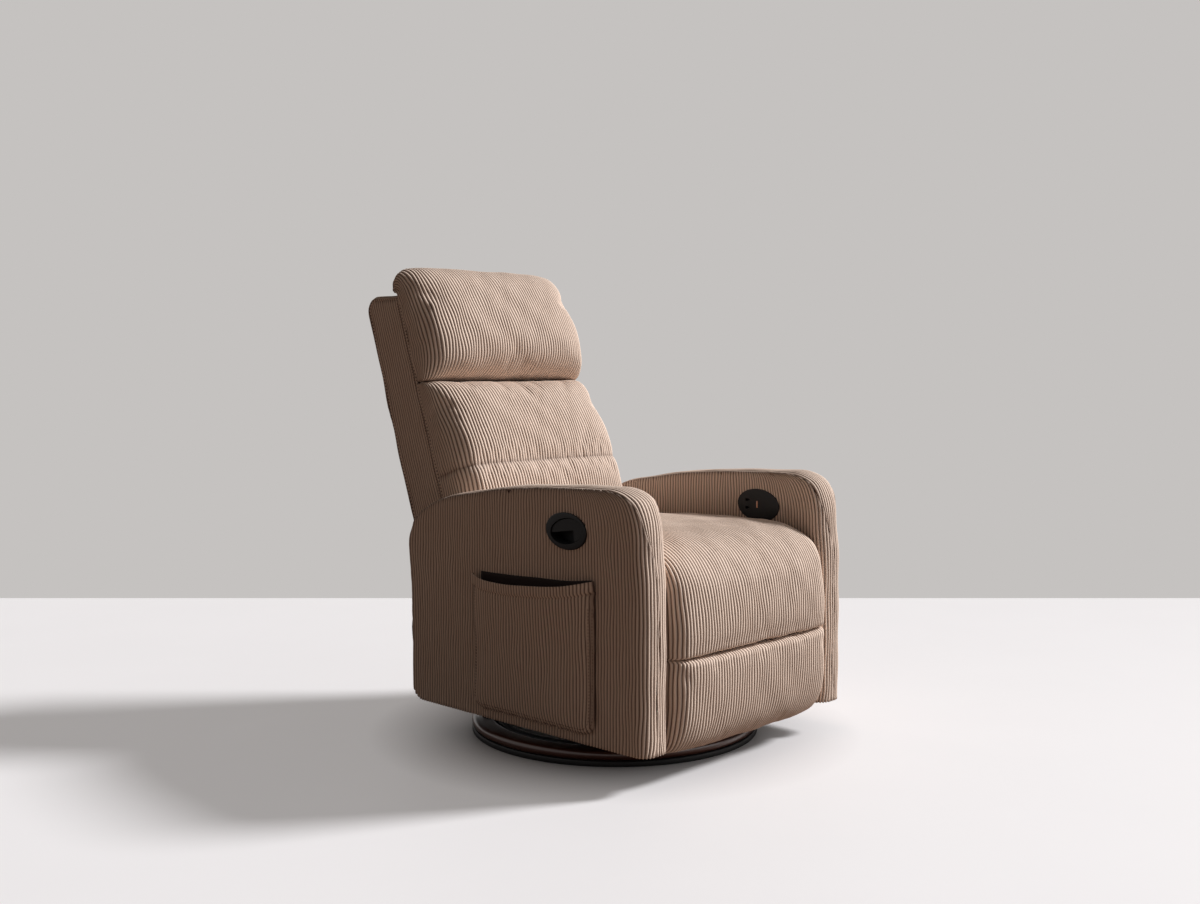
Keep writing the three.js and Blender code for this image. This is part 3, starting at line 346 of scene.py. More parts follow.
def ribbed(grid, wales, run, seam, heart, cloth, seed, rib=1.0, pucker=1.0):
    """Presses the corduroy's ribs into a smooth grid, with wandering wales and seam puckers.
    Returns the grid and what the cloth's finish reads: wale number, run and seam nearness."""
    # The seam nearness also darkens the cloth's colour in its finish, as painted shade at seams
    across, out = facing(grid, heart)
    wale, run, seam = np.broadcast_arrays(np.linspace(0, wales, grid.shape[1]), run, seam)
    ridge = np.abs(np.sin(np.pi * wale)) ** RIB_SHARPNESS
    wander = WANDER * ripple(wale / 9, run / 120, seed)
    wander = wander + SEAM_WANDER * seam * ripple(wale / 5, run / 30, seed + 1)
    swell = SWELL * ripple(wale / 16, run / 150, seed + 2)
    gather = GATHER * pucker * seam**1.5 * ripple(wale / 3.4, run / 160, seed + 3)
    groove = cloth.rib / MM * rib * (1 - ridge) * (1 - 0.45 * seam)
    shaped = grid + across * wander[..., None] + out * (swell + gather - groove)[..., None]
    return shaped, np.stack([wale, run / (cloth.wale / MM), seam], axis=-1)


def near_marks(run, marks, reach=13):
    """How near each place on a run is to a seam, from 0 to 1."""
    near = np.zeros_like(run)
    for mark in marks:
        near = np.maximum(near, np.exp(-np.abs(run - mark) / reach))
    return near


# Cushions
class Cushion:
    """A cushion's shape: rows of [front a, front b, base a, base b, swell a, swell b, width share],
    where a and b are the two directions of its side view, and how its front rounds into its sides.
    seams are the rows with a seam, lip the step of the board behind it, and ends how far its first
    and last row give way at the corners."""

    def __init__(self, table, side, corner, cloth, seams=(), leaning=False, lip=None, ends=(0, 0)):
        self.line = curve(table)
        run = run_of(self.line)
        self.length = run[-1]
        self.marks = [run[i * 16] for i in seams]
        self.side = side
        self.corner = corner
        self.leaning = leaning
        self.lip = lip
        self.ends = ends
        self.total = 2 * (side - corner) + corner * math.pi + 2 * (CUSHION_HALF - corner)
        self.wales = round(self.total / (cloth.wale / MM))

    def section(self, places):
        """x and the share of the thickness at places from -1 to 1 around the cushion."""
        s = places * self.total / 2
        flat = CUSHION_HALF - self.corner
        x, turn = rounded(s, flat, self.corner)
        down = np.clip(np.abs(s) - flat - self.corner * math.pi / 2, 0, None)
        return x, (self.side - self.corner * (1 - np.cos(turn)) - down) / self.side

    def grid(self, runs, places):
        """The smooth surface and its closing points."""
        rows = at_run(self.line, runs)
        front, base, swell, width = (rows[:, None, part] for part in np.split(np.arange(7), [2, 4, 6]))
        x, share = self.section(places)
        out = np.abs(x) / CUSHION_HALF
        crown = np.clip(1 - out**5, 0, 1) ** 0.8
        share = share[None, :, None]
        side = base + (front - base) * share + swell * crown[None, :, None] * share
        full = self.ends[0] * np.exp(-runs / 16) + self.ends[1] * np.exp(-(self.length - runs) / 16)
        side[..., 0] -= full[:, None] * out**8 * share[..., 0]
        wide = x[None, :, None] * (1 - (1 - width) * share)
        grid = np.concatenate([wide, side], axis=2)
        closure = self.closing(rows)
        return (leaned(grid), leaned(closure)) if self.leaning else (grid, closure)

    def closing(self, rows):
        """The points that close each row behind: none, or a step for the board."""
        if self.lip is None:
            return np.zeros((len(rows), 0, 3))
        x = CUSHION_HALF - self.lip[0]
        base = rows[:, 2:4]
        deep = base + (rows[:, 0:2] - base) * self.lip[1]
        points = [(x, base), (x, deep), (-x, deep), (-x, base)]
        return np.stack([np.column_stack([np.full(len(rows), x), ab]) for x, ab in points], axis=1)


def puffed(grid, closure, sewn, growth, cap):
    """How far each point of a closed coarse cushion moves when it is cloth with air inside."""
    loops = np.concatenate([grid, closure], axis=1)
    cols = grid.shape[1]
    mesh = bpy.data.meshes.new("stuffing")
    mesh.from_pydata(to_frame(loops.reshape(-1, 3)).tolist(), [], loop_faces(*loops.shape[:2]))
    turned_out(mesh)
    stuffing = new_piece("stuffing", mesh)
    held = np.ones(loops.shape[:2], bool)
    held[:, :cols] = sewn
    stuffing.vertex_groups.new(name="sewn").add(np.flatnonzero(held.ravel()).tolist(), 1.0, "REPLACE")
    cloth = stuffing.modifiers.new("Cloth", "CLOTH")
    cloth.point_cache.frame_start = 1
    cloth.point_cache.frame_end = SIM_FRAMES
    settings = {
        "quality": 6, "mass": 0.3, "tension_stiffness": 18, "compression_stiffness": 8,
        "shear_stiffness": 6, "bending_stiffness": 0.3, "shrink_min": -growth, "use_pressure": True,
        "uniform_pressure_force": PRESSURE, "vertex_group_mass": "sewn",
    }
    for key, value in settings.items():
        setattr(cloth.settings, key, value)
    cloth.settings.effector_weights.gravity = 0
    scene = bpy.context.scene
    for number in range(1, SIM_FRAMES + 1):
        scene.frame_set(number)
    shown = stuffing.evaluated_get(bpy.context.evaluated_depsgraph_get())
    after = np.zeros(len(mesh.vertices) * 3, np.float32)
    shown.data.vertices.foreach_get("co", after)
    scene.frame_set(1)
    bpy.data.objects.remove(stuffing)
    bpy.data.meshes.remove(mesh)
    moved = in_mm(after.reshape(loops.shape))[:, :cols] - grid
    return moved * cap / (cap + np.linalg.norm(moved, axis=2, keepdims=True))


def stuffed(name, cushion, cloth, seed, growth, cap, notch=6, pucker=1.0, ears=0.0):
    """A finished corduroy cushion: simulated in coarse cloth, then ribbed at full detail."""
    runs = stations(cushion.length, ROW_STEP, cushion.marks)
    places = np.linspace(-1, 1, cushion.wales * RIB_STEPS + 1)
    grid, closure = cushion.grid(runs, places)
    run = np.broadcast_to(runs[:, None], grid.shape[:2])
    heart = grid.mean(axis=(0, 1))
    few = stations(cushion.length, SIM_STEP, cushion.marks, np.zeros(1), SIM_STEP / 2)
    coarse = np.linspace(-1, 1, round(cushion.wales / 2) + 1)
    rough, behind = cushion.grid(few, coarse)
    sewn = np.zeros(rough.shape[:2], bool)
    sewn[:, [0, -1]] = sewn[[0, -1]] = True
    for mark in cushion.marks:
        sewn[np.abs(few - mark) < 0.01] = True
    moved = between(puffed(rough, behind, sewn, growth, cap), few, runs)
    grid = grid + np.swapaxes(between(np.swapaxes(moved, 0, 1), coarse, places), 0, 1)
    _, out = facing(grid, heart)
    share = cushion.section(places)[1]
    for mark in cushion.marks:
        dip = np.exp(-np.abs(runs - mark) / 3.5)[:, None] * (0.35 + 0.65 * share)
        grid = grid - out * (notch * dip)[..., None]
    aside = (1 - np.abs(places)) * cushion.total / 2
    ear = ears * np.exp(-(aside / 75) ** 2) * np.exp(-((cushion.length - run - 20) / 60) ** 2)
    seam = near_marks(run, [0, *cushion.marks, cushion.length])
    # Near the sides' back edges and in the ears' gathers the seam nearness rises, which darkens the colour
    # there as painted shade
    seam = np.clip(np.maximum(seam, np.maximum(0.7 * np.exp(-aside / 14), ear)), 0, 1)
    grid, weave = ribbed(grid, cushion.wales, run, seam, heart, cloth, seed, pucker=pucker * (1 + 0.9 * ear))
    grid[..., 0] = np.clip(grid[..., 0], -CUSHION_HALF - 1.5, CUSHION_HALF + 1.5)
    return closed_piece(name, grid, weave, closure)


# Finishes
class Value:
    """A shader socket that arithmetic works on."""

    def __init__(self, finish, socket):
        self.finish = finish
        self.socket = socket

    def maths(self, operation, other=None):
        inputs = {0: self} if other is None else {0: self, 1: other}
        return self.finish.node("ShaderNodeMath", {"operation": operation}, inputs)

    def __add__(self, other):
        return self.maths("ADD", other)

    def __sub__(self, other):
        return self.maths("SUBTRACT", other)

    def __mul__(self, other):
        return self.maths("MULTIPLY", other)

    def __pow__(self, other):
        return self.maths("POWER", other)

    __radd__ = __add__
    __rmul__ = __mul__


class Finish:
    """A node tree being made: one method adds any node, and set() fills in its shader."""

    def __init__(self, owner, shader="Principled BSDF"):
        owner.use_nodes = True
        self.owner = owner
        self.tree = owner.node_tree
        self.shader = self.tree.nodes[shader]

    def fill(self, sockets, values):
        for key, value in values.items():
            if isinstance(value, Value):
                self.tree.links.new(value.socket, sockets[key])
            elif sockets[key].type == "RGBA":
                sockets[key].default_value = (*value[:3], 1.0)
            else:
                sockets[key].default_value = value

    def node(self, kind, settings, inputs, output=0):
        node = self.tree.nodes.new(kind)
        for key, value in settings.items():
            setattr(node, key, value)
        self.fill(node.inputs, inputs)
        return Value(self, node.outputs[output])

    def place(self):
        return self.node("ShaderNodeTexCoord", {}, {}, "Object")

    def parts(self, vector, *wanted):
        """Some of a vector's three parts, by number."""
        split = self.node("ShaderNodeSeparateXYZ", {}, {0: vector}).socket.node
        return [Value(self, split.outputs[i]) for i in wanted]

    def mix(self, share, low, high):
        """A colour between two, low where share is 0."""
        settings = {"data_type": "RGBA", "clamp_factor": True}
        return self.node("ShaderNodeMix", settings, {0: share, 6: low, 7: high}, 2)

    def noise(self, scale, detail=3.0, rough=0.55, on=None):
        """Noise over the object's own place or another vector. A scale for each axis stretches it."""
        vector = on or self.place()
        if isinstance(scale, tuple):
            vector = self.node("ShaderNodeVectorMath", {"operation": "MULTIPLY"}, {0: vector, 1: scale})
            scale = 1.0
        inputs = {"Vector": vector, "Scale": scale, "Detail": detail, "Roughness": rough}
        return self.node("ShaderNodeTexNoise", {}, inputs)

    def set(self, base, rough, bump, others):
        """Fills in the shader. bump is a height, its strength and its distance in metres."""
        sockets = {"Base Color": base, "Roughness": rough, **others}
        if bump:
            inputs = dict(zip(("Height", "Strength", "Distance"), bump))
            sockets["Normal"] = self.node("ShaderNodeBump", {}, inputs)
        self.fill(self.shader.inputs, sockets)


def corduroy(finish, cloth):
    """Cotton corduroy: pale worn ridges, painted shade in the grooves and along seams, brushed pile and a
    soft sheen.
    """
    weave = finish.node("ShaderNodeAttribute", {"attribute_name": "weave"}, {}, "Vector")
    wale, seam = finish.parts(weave, 0, 2)
    groove = ((wale.maths("FRACT") - 0.5) * 2).maths("ABSOLUTE") ** 2.1
    pile = finish.noise((7.0, 2.2, 0.0), 2.0, on=weave)
    streak = finish.noise((0.9, 0.07, 0.0), 2.0, on=weave)
    brushed = finish.noise(9.0)
    nap = finish.noise(1400.0, 2.0)
    tone = finish.mix(streak * 0.55 + brushed * 0.45, cloth.ridge_dark, cloth.ridge)
    worn = finish.mix((pile - 0.5) * 0.5 + 0.12, tone, cloth.ridge_worn)
    # Painted shade between the ribs: the groove mask mixes the colour towards the groove colour
    base = finish.mix(groove * 0.95, worn, cloth.groove)
    # Painted shade in the creases at seams, gathers and edges: the colour darkens towards the groove colour
    # with seam nearness
    base = finish.mix(seam**3 * 0.45, base, cloth.groove)
    finish.set(base, 0.86 + brushed * 0.12, (pile * 0.5 + nap * 0.5, 0.35, 0.0007), {
        "Sheen Weight": 0.22, "Sheen Roughness": 0.45, "Sheen Tint": (1.0, 0.86, 0.76),
        "Specular IOR Level": 0.25,
    })


def lining(finish, cloth):
    """Near-black plain cloth: painted shade, for the sheet behind the pocket's mouth."""
    weft = finish.noise((900.0, 200.0, 1800.0), 2.0)
    base = finish.mix(weft * 0.25, cloth.lining, cloth.groove)
    finish.set(base, 0.9, (weft, 0.3, 0.0003), {"Specular IOR Level": 0.2})


def stitching(finish, cloth):
    """Twisted thread, a little darker than the cloth."""
    twist = finish.noise(900.0, 2.0)
    finish.set(finish.mix(twist, cloth.thread, cloth.groove), 0.8, (twist, 0.4, 0.0003), {})


def walnut(finish, trim):
    """Stained, varnished bentwood with long grain around the ring."""
    grain = finish.noise((3.0, 3.0, 90.0), 5.0, 0.6)
    pore = finish.noise((12.0, 12.0, 500.0), 3.0, 0.7)
    base = finish.mix(grain, trim.walnut_dark, trim.walnut)
    base = finish.mix(pore**3 * 0.6, base, trim.walnut_dark)
    coat = {"Coat Weight": 0.5, "Coat Roughness": 0.12}
    finish.set(base, 0.3 + pore * 0.15, (pore, 0.15, 0.0004), coat)


def black_plastic(finish, trim):
    """Moulded plastic with a fine spark-eroded grain."""
    grain = finish.noise(2600.0, 2.0)
    cloud = finish.noise(45.0, 2.0)
    base = finish.mix(cloud, trim.plastic, trim.plastic_worn)
    finish.set(base, 0.46 + cloud * 0.14, (grain, 0.25, 0.0002), {"Specular IOR Level": 0.28})


def powder_coat(finish, trim):
    """Black powder-coated steel, rubbed a little where it is handled."""
    peel = finish.noise(700.0, 2.0)
    base = finish.mix(finish.noise(24.0, 4.0) ** 3, trim.steel_black, trim.steel_rubbed)
    finish.set(base, 0.42 + peel * 0.16, (peel, 0.3, 0.0003), {"Metallic": 0.35})


def zinc(finish, trim):
    """Zinc-plated steel with drawing marks and dull patches."""
    drawn = finish.noise((300.0, 20.0, 300.0))
    patch = finish.noise(30.0)
    base = finish.mix(patch, trim.zinc_dull, trim.zinc)
    finish.set(base, 0.25 + patch * 0.25, (drawn, 0.12, 0.0002), {"Metallic": 0.95})


def timber(finish, trim):
    """Unfinished pine and plywood with straight grain and darker late wood."""
    grain = finish.noise((70.0, 5.0, 60.0), 4.0, 0.6)
    fibre = finish.noise((600.0, 30.0, 600.0), 2.0)
    base = finish.mix(grain**2 * 1.6, trim.timber, trim.timber_dark)
    finish.set(base, 0.7 + fibre * 0.2, (fibre, 0.3, 0.0003), {})


def webbing(finish, trim):
    """Woven elastic webbing: a close rib across the strap."""
    x, z = finish.parts(finish.place(), 0, 2)
    knit = (x * 2400.0).maths("SINE") * (z * 1900.0).maths("SINE") * 0.5 + 0.5
    finish.set(finish.mix(knit, trim.webbing, trim.webbing_light), 0.85, (knit, 0.5, 0.0005), {})


def light_lens(finish, trim):
    """Smoked amber lens with a brighter middle, both painted pale as a painted glint so the light reads lit
    in shade.
    """
    cloud = finish.noise(220.0, 2.0)
    finish.set(finish.mix(cloud, trim.lens, trim.lens_bright), 0.25 + cloud * 0.1, None, {"Coat Weight": 0.4})


CLOTHS = {"corduroy": corduroy, "stitching": stitching, "lining": lining}
TRIMS = {
    "walnut": walnut, "black_plastic": black_plastic, "black_steel": powder_coat, "zinc_steel": zinc,
    "frame_timber": timber, "elastic_webbing": webbing, "light_lens": light_lens,
}
FINISHES = {}


def finish_for(name):
    """The one material of each finish, made when it is first asked for."""
    if name not in FINISHES:
        scene = bpy.context.scene
        settings = scene.recliner_cloth if name in CLOTHS else scene.recliner_trim
        make = CLOTHS[name] if name in CLOTHS else TRIMS[name]
        finish = Finish(bpy.data.materials.new(make.__name__))
        make(finish, settings)
        FINISHES[name] = finish.owner
    return FINISHES[name]


def fitted(piece, body=None, replaces=None, slot="corduroy", finish=None):
    """Gives a piece its finish and slot, the frame node it stands for and its body."""
    piece.data.materials.clear()
    piece.data.materials.append(finish_for(finish or slot))
    if replaces:
        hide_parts(replaces)
    if body:
        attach(piece, body)
    return piece


def shade(name, description, *levels):
    """A colour property whose default is written as it looks on a screen, 0 to 255."""
    shares = [level / 255 for level in levels]
    linear = tuple(c / 12.92 if c <= 0.04045 else ((c + 0.055) / 1.055) ** 2.4 for c in shares)
    return FloatVectorProperty(name=name, description=description, default=linear, subtype="COLOR")


class ClothSettings(bpy.types.PropertyGroup):
    """The corduroy's size and colours."""

    wale: FloatProperty(
        name="Wale", description="Distance from one rib to the next", default=0.008, unit="LENGTH",
    )
    rib: FloatProperty(
        name="Rib depth", description="Depth of the grooves between ribs", default=0.0031, unit="LENGTH",
    )
    ridge: shade("Ridge", "Colour of the ribs", 239, 218, 202)
    ridge_dark: shade("Ridge in shade", "Ribs brushed the dark way", 220, 193, 174)
    ridge_worn: shade("Worn ridge", "Ribs where the pile is rubbed", 249, 235, 224)
    # Groove: painted shade, the near-black laid into the grooves and along seams; thread and the pocket's
    # shade sheet also mix towards it
    groove: shade("Groove", "Colour between the ribs", 66, 37, 26)
    # Painted shade: the near-black of the sheet behind the pocket's mouth
    lining: shade("Lining", "Lining inside the pocket", 18, 13, 12)
    thread: shade("Thread", "Colour of the stitches", 128, 94, 74)


class TrimSettings(bpy.types.PropertyGroup):
    """Colours of the hard parts."""

    walnut: shade("Walnut", "Stained ring, light grain", 92, 52, 40)
    walnut_dark: shade("Walnut grain", "Stained ring, dark grain", 46, 24, 19)
    plastic: shade("Plastic", "Black moulded plastic", 13, 13, 14)
    plastic_worn: shade("Plastic sheen", "Plastic where it is polished by use", 22, 22, 24)
    steel_black: shade("Coated steel", "Black powder coat", 24, 24, 26)
    steel_rubbed: shade("Rubbed coat", "Powder coat rubbed thin", 58, 57, 58)
    zinc: shade("Zinc", "Bright zinc plate", 196, 198, 202)
    zinc_dull: shade("Dull zinc", "Zinc plate gone dull", 140, 142, 148)
    timber: shade("Timber", "Pine, early wood", 214, 184, 140)
    timber_dark: shade("Timber grain", "Pine, late wood", 168, 126, 82)
    webbing: shade("Webbing", "Elastic webbing", 34, 34, 37)
    webbing_light: shade("Webbing thread", "Raised threads of the webbing", 72, 72, 76)
    # Painted glint: the lens colours are pale enough to read lit in shade
    lens: shade("Lens", "Smoked amber lens", 206, 128, 98)
    lens_bright: shade("Lens middle", "Brighter part of the lens", 244, 178, 140)


class StageSettings(bpy.types.PropertyGroup):
    """Light and floor."""

    key: FloatProperty(name="Key light", description="Strength of the key light", default=4.9)
    fill: FloatProperty(name="Fill light", description="Power of the fill", default=20.0, unit="POWER")
    sky: FloatProperty(name="Room light", description="Strength of the room's light", default=0.1)
    floor: shade("Floor", "Colour of the floor", 200, 198, 200)
    bounce: shade("Floor bounce", "Colour of the light off the floor", 102, 80, 66)
    glow: FloatProperty(
        name="Floor glow", description="How pale the camera sees the floor in shade", default=0.25,
    )
    wall: shade("Wall", "Colour behind the chair", 197, 194, 192)


# The floor's place and turn, and where the chair stands from its middle
FLOOR_PLACE = (-7.5, -7.19, -0.0005)
FLOOR_TURN = math.radians(46.2)
CHAIR_ON_FLOOR = (7.51315, 7.10364, 0)


class RECLINER_OT_stage(bpy.types.Operator):
    """Sets up the camera, a pale floor and soft light"""

    bl_idname = "recliner.stage"
    bl_label = "Stage"

    def execute(self, context):
        scene = context.scene
        stage = scene.recliner_stage
        data = bpy.data.cameras.new("camera")
        data.lens = 39.71
        data.sensor_width = 36
        data.clip_end = 60
        camera = bpy.data.objects.new("camera", data)
        camera.location = to_frame((-2149.8, -2015.7, 803.6))
        camera.rotation_euler = (math.radians(86.4), 0, -FLOOR_TURN)
        scene.collection.objects.link(camera)
        scene.camera = camera
        bpy.ops.mesh.primitive_plane_add(size=24, location=FLOOR_PLACE, rotation=(0, 0, -FLOOR_TURN))
        floor = context.active_object
        floor.name = "floor"
        floor.data.materials.append(self.paint(stage))
        self.lamp(scene, "key", "SUN", stage.key, (0.715, -0.4, 0.574), "angle", math.radians(11))
        self.lamp(scene, "fill", "AREA", stage.fill, (1.0, -3.0, 1.0), "size", 2.5)
        self.sky(scene, stage)
        scene.view_settings.view_transform = "Standard"
        return {"FINISHED"}

    def paint(self, stage):
        """The floor's paint: one colour for the camera, which glows but for under the chair, and
        another for the light that it throws back."""
        finish = Finish(bpy.data.materials.new("floor_paint"))
        base = finish.mix(finish.noise(3.0), tuple(c * 0.96 for c in stage.floor), stage.floor)
        seen = finish.node("ShaderNodeLightPath", {}, {}, "Is Camera Ray")
        chair = Matrix.Rotation(FLOOR_TURN, 3, "Z") @ Vector(CHAIR_ON_FLOOR)
        ends = {0: finish.place(), 1: chair}
        far = finish.node("ShaderNodeVectorMath", {"operation": "DISTANCE"}, ends, "Value")
        open_floor = ((far - 0.3) * 4).maths("MINIMUM", 1).maths("MAXIMUM", 0) * seen
        finish.set(finish.mix(seen, stage.bounce, base), 0.55, None, {
            "Emission Strength": stage.glow,
            "Emission Color": finish.mix(open_floor, (0, 0, 0), (1, 0.97, 0.96)),
        })
        return finish.owner

    def lamp(self, scene, name, kind, power, place, softness, amount):
        data = bpy.data.lights.new(name, kind)
        data.energy = power
        setattr(data, softness, amount)
        lamp = bpy.data.objects.new(name, data)
        lamp.location = place
        aim = -lamp.location if kind == "SUN" else Vector((0, 0, 0.5)) - lamp.location
        lamp.rotation_euler = aim.to_track_quat("-Z", "Y").to_euler()
        scene.collection.objects.link(lamp)

    def sky(self, scene, stage):
        """A dim warm light all round, and the wall's colour where the camera sees past the floor."""
        room = Finish(bpy.data.worlds.new("room"), "Background")
        scene.world = room.owner
        room.fill(room.shader.inputs, {"Color": (1.0, 0.86, 0.76), "Strength": stage.sky})
        wall = room.node("ShaderNodeBackground", {}, {"Color": stage.wall})
        camera = room.node("ShaderNodeLightPath", {}, {}, "Is Camera Ray")
        glossy = Value(room, camera.socket.node.outputs["Is Glossy Ray"])
        light = Value(room, room.shader.outputs[0])
        mixed = room.node("ShaderNodeMixShader", {}, {0: camera.maths("MAXIMUM", glossy), 1: light, 2: wall})
        room.fill(room.tree.nodes["World Output"].inputs, {"Surface": mixed})


# Seat: from the rear edge over the top and the rolled nose down to the seam across the front.
# Each row: surface y, z, base y, z, swell y, z, width share.
SEAT_ROWS = [
    [191, 374, 189, 372, 0, 0, 1], [195, 398, 186, 372, 0, 1, 1], [190, 426, 178, 372, 0, 5, 1],
    [150, 437, 146, 372, 0, 9, 1], [99, 442, 99, 372, 0, 12, 1], [-16, 456, -16, 372, 0, 11, 1],
    [-143, 461, -143, 372, 0, 10, 1], [-250, 461, -240, 372, 0, 10, 1],
    [-320, 453, -312, 400, -2, 8, 1], [-363, 431, -338, 403, -6, 5, 1],
    [-388, 394, -326, 384, -8, 3, 1], [-397, 352, -320, 350, -9, 0, 1],
    [-402, 312, -320, 312, -9, 0, 1], [-403, 283, -320, 280, -9, 0, 1],
    [-402, 262, -320, 260, -9, 0, 1], [-402, 249, -320, 249, -8, 0, 1],
    [-398, 245.2, -320, 246, -6, 0, 1], [-380, 244.6, -324, 245, -3, 0, 0.995],
]
# Footrest pad: from the seam across the front down to the tucked lower edge.
PAD_ROWS = [
    [-380, 244, -324, 243, -3, 0, 0.995], [-398, 243.6, -320, 242, -6, 0, 1],
    [-402, 239, -320, 237, -8, 0, 1], [-402, 226, -320, 224, -9, 0, 1],
    [-402, 178, -320, 178, -9, 0, 1], [-399, 134, -320, 134, -9, 0, 1],
    [-393, 99, -322, 102, -8, 0, 1], [-382, 71, -326, 78, -6, -1, 0.99],
    [-366, 53, -330, 62, -3, -1, 0.975], [-344, 46, -334, 52, 0, 0, 0.96],
]
PAD_CORNER_LIFT = 12
SEAT_SIDE = 72
SEAT_CORNER = 29
BOARD_LIP = (7, 0.42)


class RECLINER_OT_seat(bpy.types.Operator):
    """Makes the seat cushion, which bends over the footrest's hinge, and the footrest's pad"""

    bl_idname = "recliner.seat"
    bl_label = "Seat and footrest"

    def execute(self, context):
        cloth = context.scene.recliner_cloth
        shape = Cushion(SEAT_ROWS, SEAT_SIDE, SEAT_CORNER, cloth, lip=BOARD_LIP)
        seat = stuffed("seat_top", shape, cloth, 11, growth=0.012, cap=5)
        fitted(seat, None, "seat_cushion")
        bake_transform(seat)
        shape = Cushion(PAD_ROWS, SEAT_SIDE, SEAT_CORNER, cloth, lip=BOARD_LIP)
        pad = stuffed("footrest_cushion", shape, cloth, 23, growth=0.012, cap=4)
        for vert in pad.data.vertices:
            across, _, z = in_mm(vert.co)
            low = math.exp(-max(z - 50, 0) / 45)
            vert.co.z += PAD_CORNER_LIFT * MM * (across / CUSHION_HALF) ** 4 * low
        fitted(pad, "footrest", "footrest_pad")
        return {"FINISHED"}


# Back cushions, in the back's own frame: surface depth, up, base depth, up, swell out, up, width.
HEAD_ROWS = [
    [-14, 419, -12.5, 420, 0, 0, 1], [-31, 415, -12.5, 421, -3, 0, 0.995], [-51, 421, -12.5, 427, -13, 0, 1],
    [-70, 446, -12.5, 446, -28, 0, 1], [-78, 486, -12.5, 484, -33, 0, 1],
    [-75, 535, -12.5, 535, -33, 0, 1], [-63, 598, -12.5, 590, -31, 2, 1],
    [-50, 650, -12.5, 618, -24, 6, 1], [-34, 681, -11, 634, -11, 8, 0.995],
    [-15, 692, -6, 640, 0, 9, 0.99], [-3, 682, -2, 642, 2, 6, 0.99], [-1, 656, 0, 643, 0, 1, 1],
]
LUMBAR_ROWS = [
    [-16, 61, -12.5, 62, 0, 0, 1], [-60, 60, -12.5, 62, -6, 0, 1], [-91, 70, -12.5, 74, -15, 0, 1],
    [-105, 95, -12.5, 95, -21, 0, 1], [-108, 130, -12.5, 130, -24, 0, 1],
    [-108, 172, -12.5, 172, -24, 0, 1], [-105, 192, -12.5, 192, -22, 0, 1],
    [-105, 222, -12.5, 222, -23, 0, 1], [-97, 268, -12.5, 268, -26, 0, 1],
    [-75, 336, -12.5, 334, -30, 0, 1], [-58, 391, -12.5, 384, -22, 0, 1],
    [-42, 410, -12.5, 401, -9, 0, 1], [-14, 415, -12.5, 414, 0, 0, 1],
]
LUMBAR_SEAM = 6
HEAD_SIDE = 76
LUMBAR_SIDE = 92
BACK_CORNER = 36


class RECLINER_OT_back_cushions(bpy.types.Operator):
    """Makes the head cushion and the lumbar cushion with the seam across it"""

    bl_idname = "recliner.back_cushions"
    bl_label = "Back cushions"

    def execute(self, context):
        cloth = context.scene.recliner_cloth
        shape = Cushion(HEAD_ROWS, HEAD_SIDE, BACK_CORNER, cloth, leaning=True, ends=(20, 0))
        head = stuffed("head_pillow", shape, cloth, 37, growth=0.018, cap=7, ears=0.9)
        fitted(head, "back", "head_cushion")
        shape = Cushion(
            LUMBAR_ROWS, LUMBAR_SIDE, BACK_CORNER, cloth, seams=[LUMBAR_SEAM], leaning=True, ends=(0, 22),
        )
        lumbar = stuffed("lumbar_pillow", shape, cloth, 41, growth=0.018, cap=7, notch=1.8, pucker=0.45)
        fitted(lumbar, "back", "lumbar_cushion")
        return {"FINISHED"}


# Arms: the sides turn inwards round the front, where they meet a strip that comes over the top
# and narrows down the nose to one wale.
NOSE_DEPTH = 36
NOSE_TURN = 40
NOSE_SQUARE = 0.7
NOSE_REACH = 120
FRONT_INSET = 0.5
STRIP_TURN = 84.2
STRIP_FOOT = 405
STRIP_FROM = -270
RISE_STEPS = 24
SEAM_DIP = 2.5
CROWN_TOP = 6
CROWN_REAR = 2
HEM_RAISE = 5
FOOT_RADIUS = 38
HEM_REACH = 60
PANEL_THICKNESS = 10
BAND_THICKNESS = 9
# Height, and how far the front lies back and the rear swells out there
FRONT_BACK = [
    [66, 0], [300, 0], [384, 1], [446, 6], [497, 9.5], [530, 18], [556, 33], [572, 67], [577, 90],
]
REAR_SWELL = [[66, 0], [290, 0], [335, 4], [385, 9], [430, 9], [470, 4], [500, 0]]
# The seam along the top, y and z, and round the nose, degrees and z
TOP_SEAM = [
    [-300, 571], [-200, 569], [-100, 564.5], [16, 555], [79, 545], [144, 535], [177, 529],
    [211, 520], [245, 506], [280, 486], [302, 466], [322, 424],
]
NOSE_SEAM = [
    [0, 569.5], [17.2, 567], [27.7, 561], [34.1, 552], [41.7, 539], [46.6, 522], [53.3, 498],
    [62.7, 478], [74.6, 450], [84.2, 405],
]
NOSE_START = ARM_FRONT + FRONT_INSET + NOSE_DEPTH
SIDE_LENGTH = ARM_REAR - CROWN_REAR - NOSE_START
HEM = ARM_BOTTOM + HEM_RAISE
STRIP_AT = -NOSE_TURN * math.radians(STRIP_TURN)


def looked_up(table, places):
    """Values of a smooth curve through a table's rows, at places in its first column."""
    line = curve(table, 8)
    return np.interp(places, line[:, 0], line[:, 1])


def nose_round(turn):
    """The shares by which an arm's front has turned in and forward, an angle along its rounding."""
    angle = np.linspace(0, np.pi / 2, 400)
    x, y = np.cos(angle) ** NOSE_SQUARE, np.sin(angle) ** NOSE_SQUARE
    run = run_of(np.column_stack([x * ARM_HALF, y * NOSE_DEPTH]))
    place = turn / (np.pi / 2) * run[-1]
    return 1 - np.interp(place, run, x), np.interp(place, run, y)


def square_share(across):
    """The height of the arm's rounding, as a share, at a share of its half width."""
    return (1 - np.abs(across) ** (2 / NOSE_SQUARE)) ** (NOSE_SQUARE / 2)


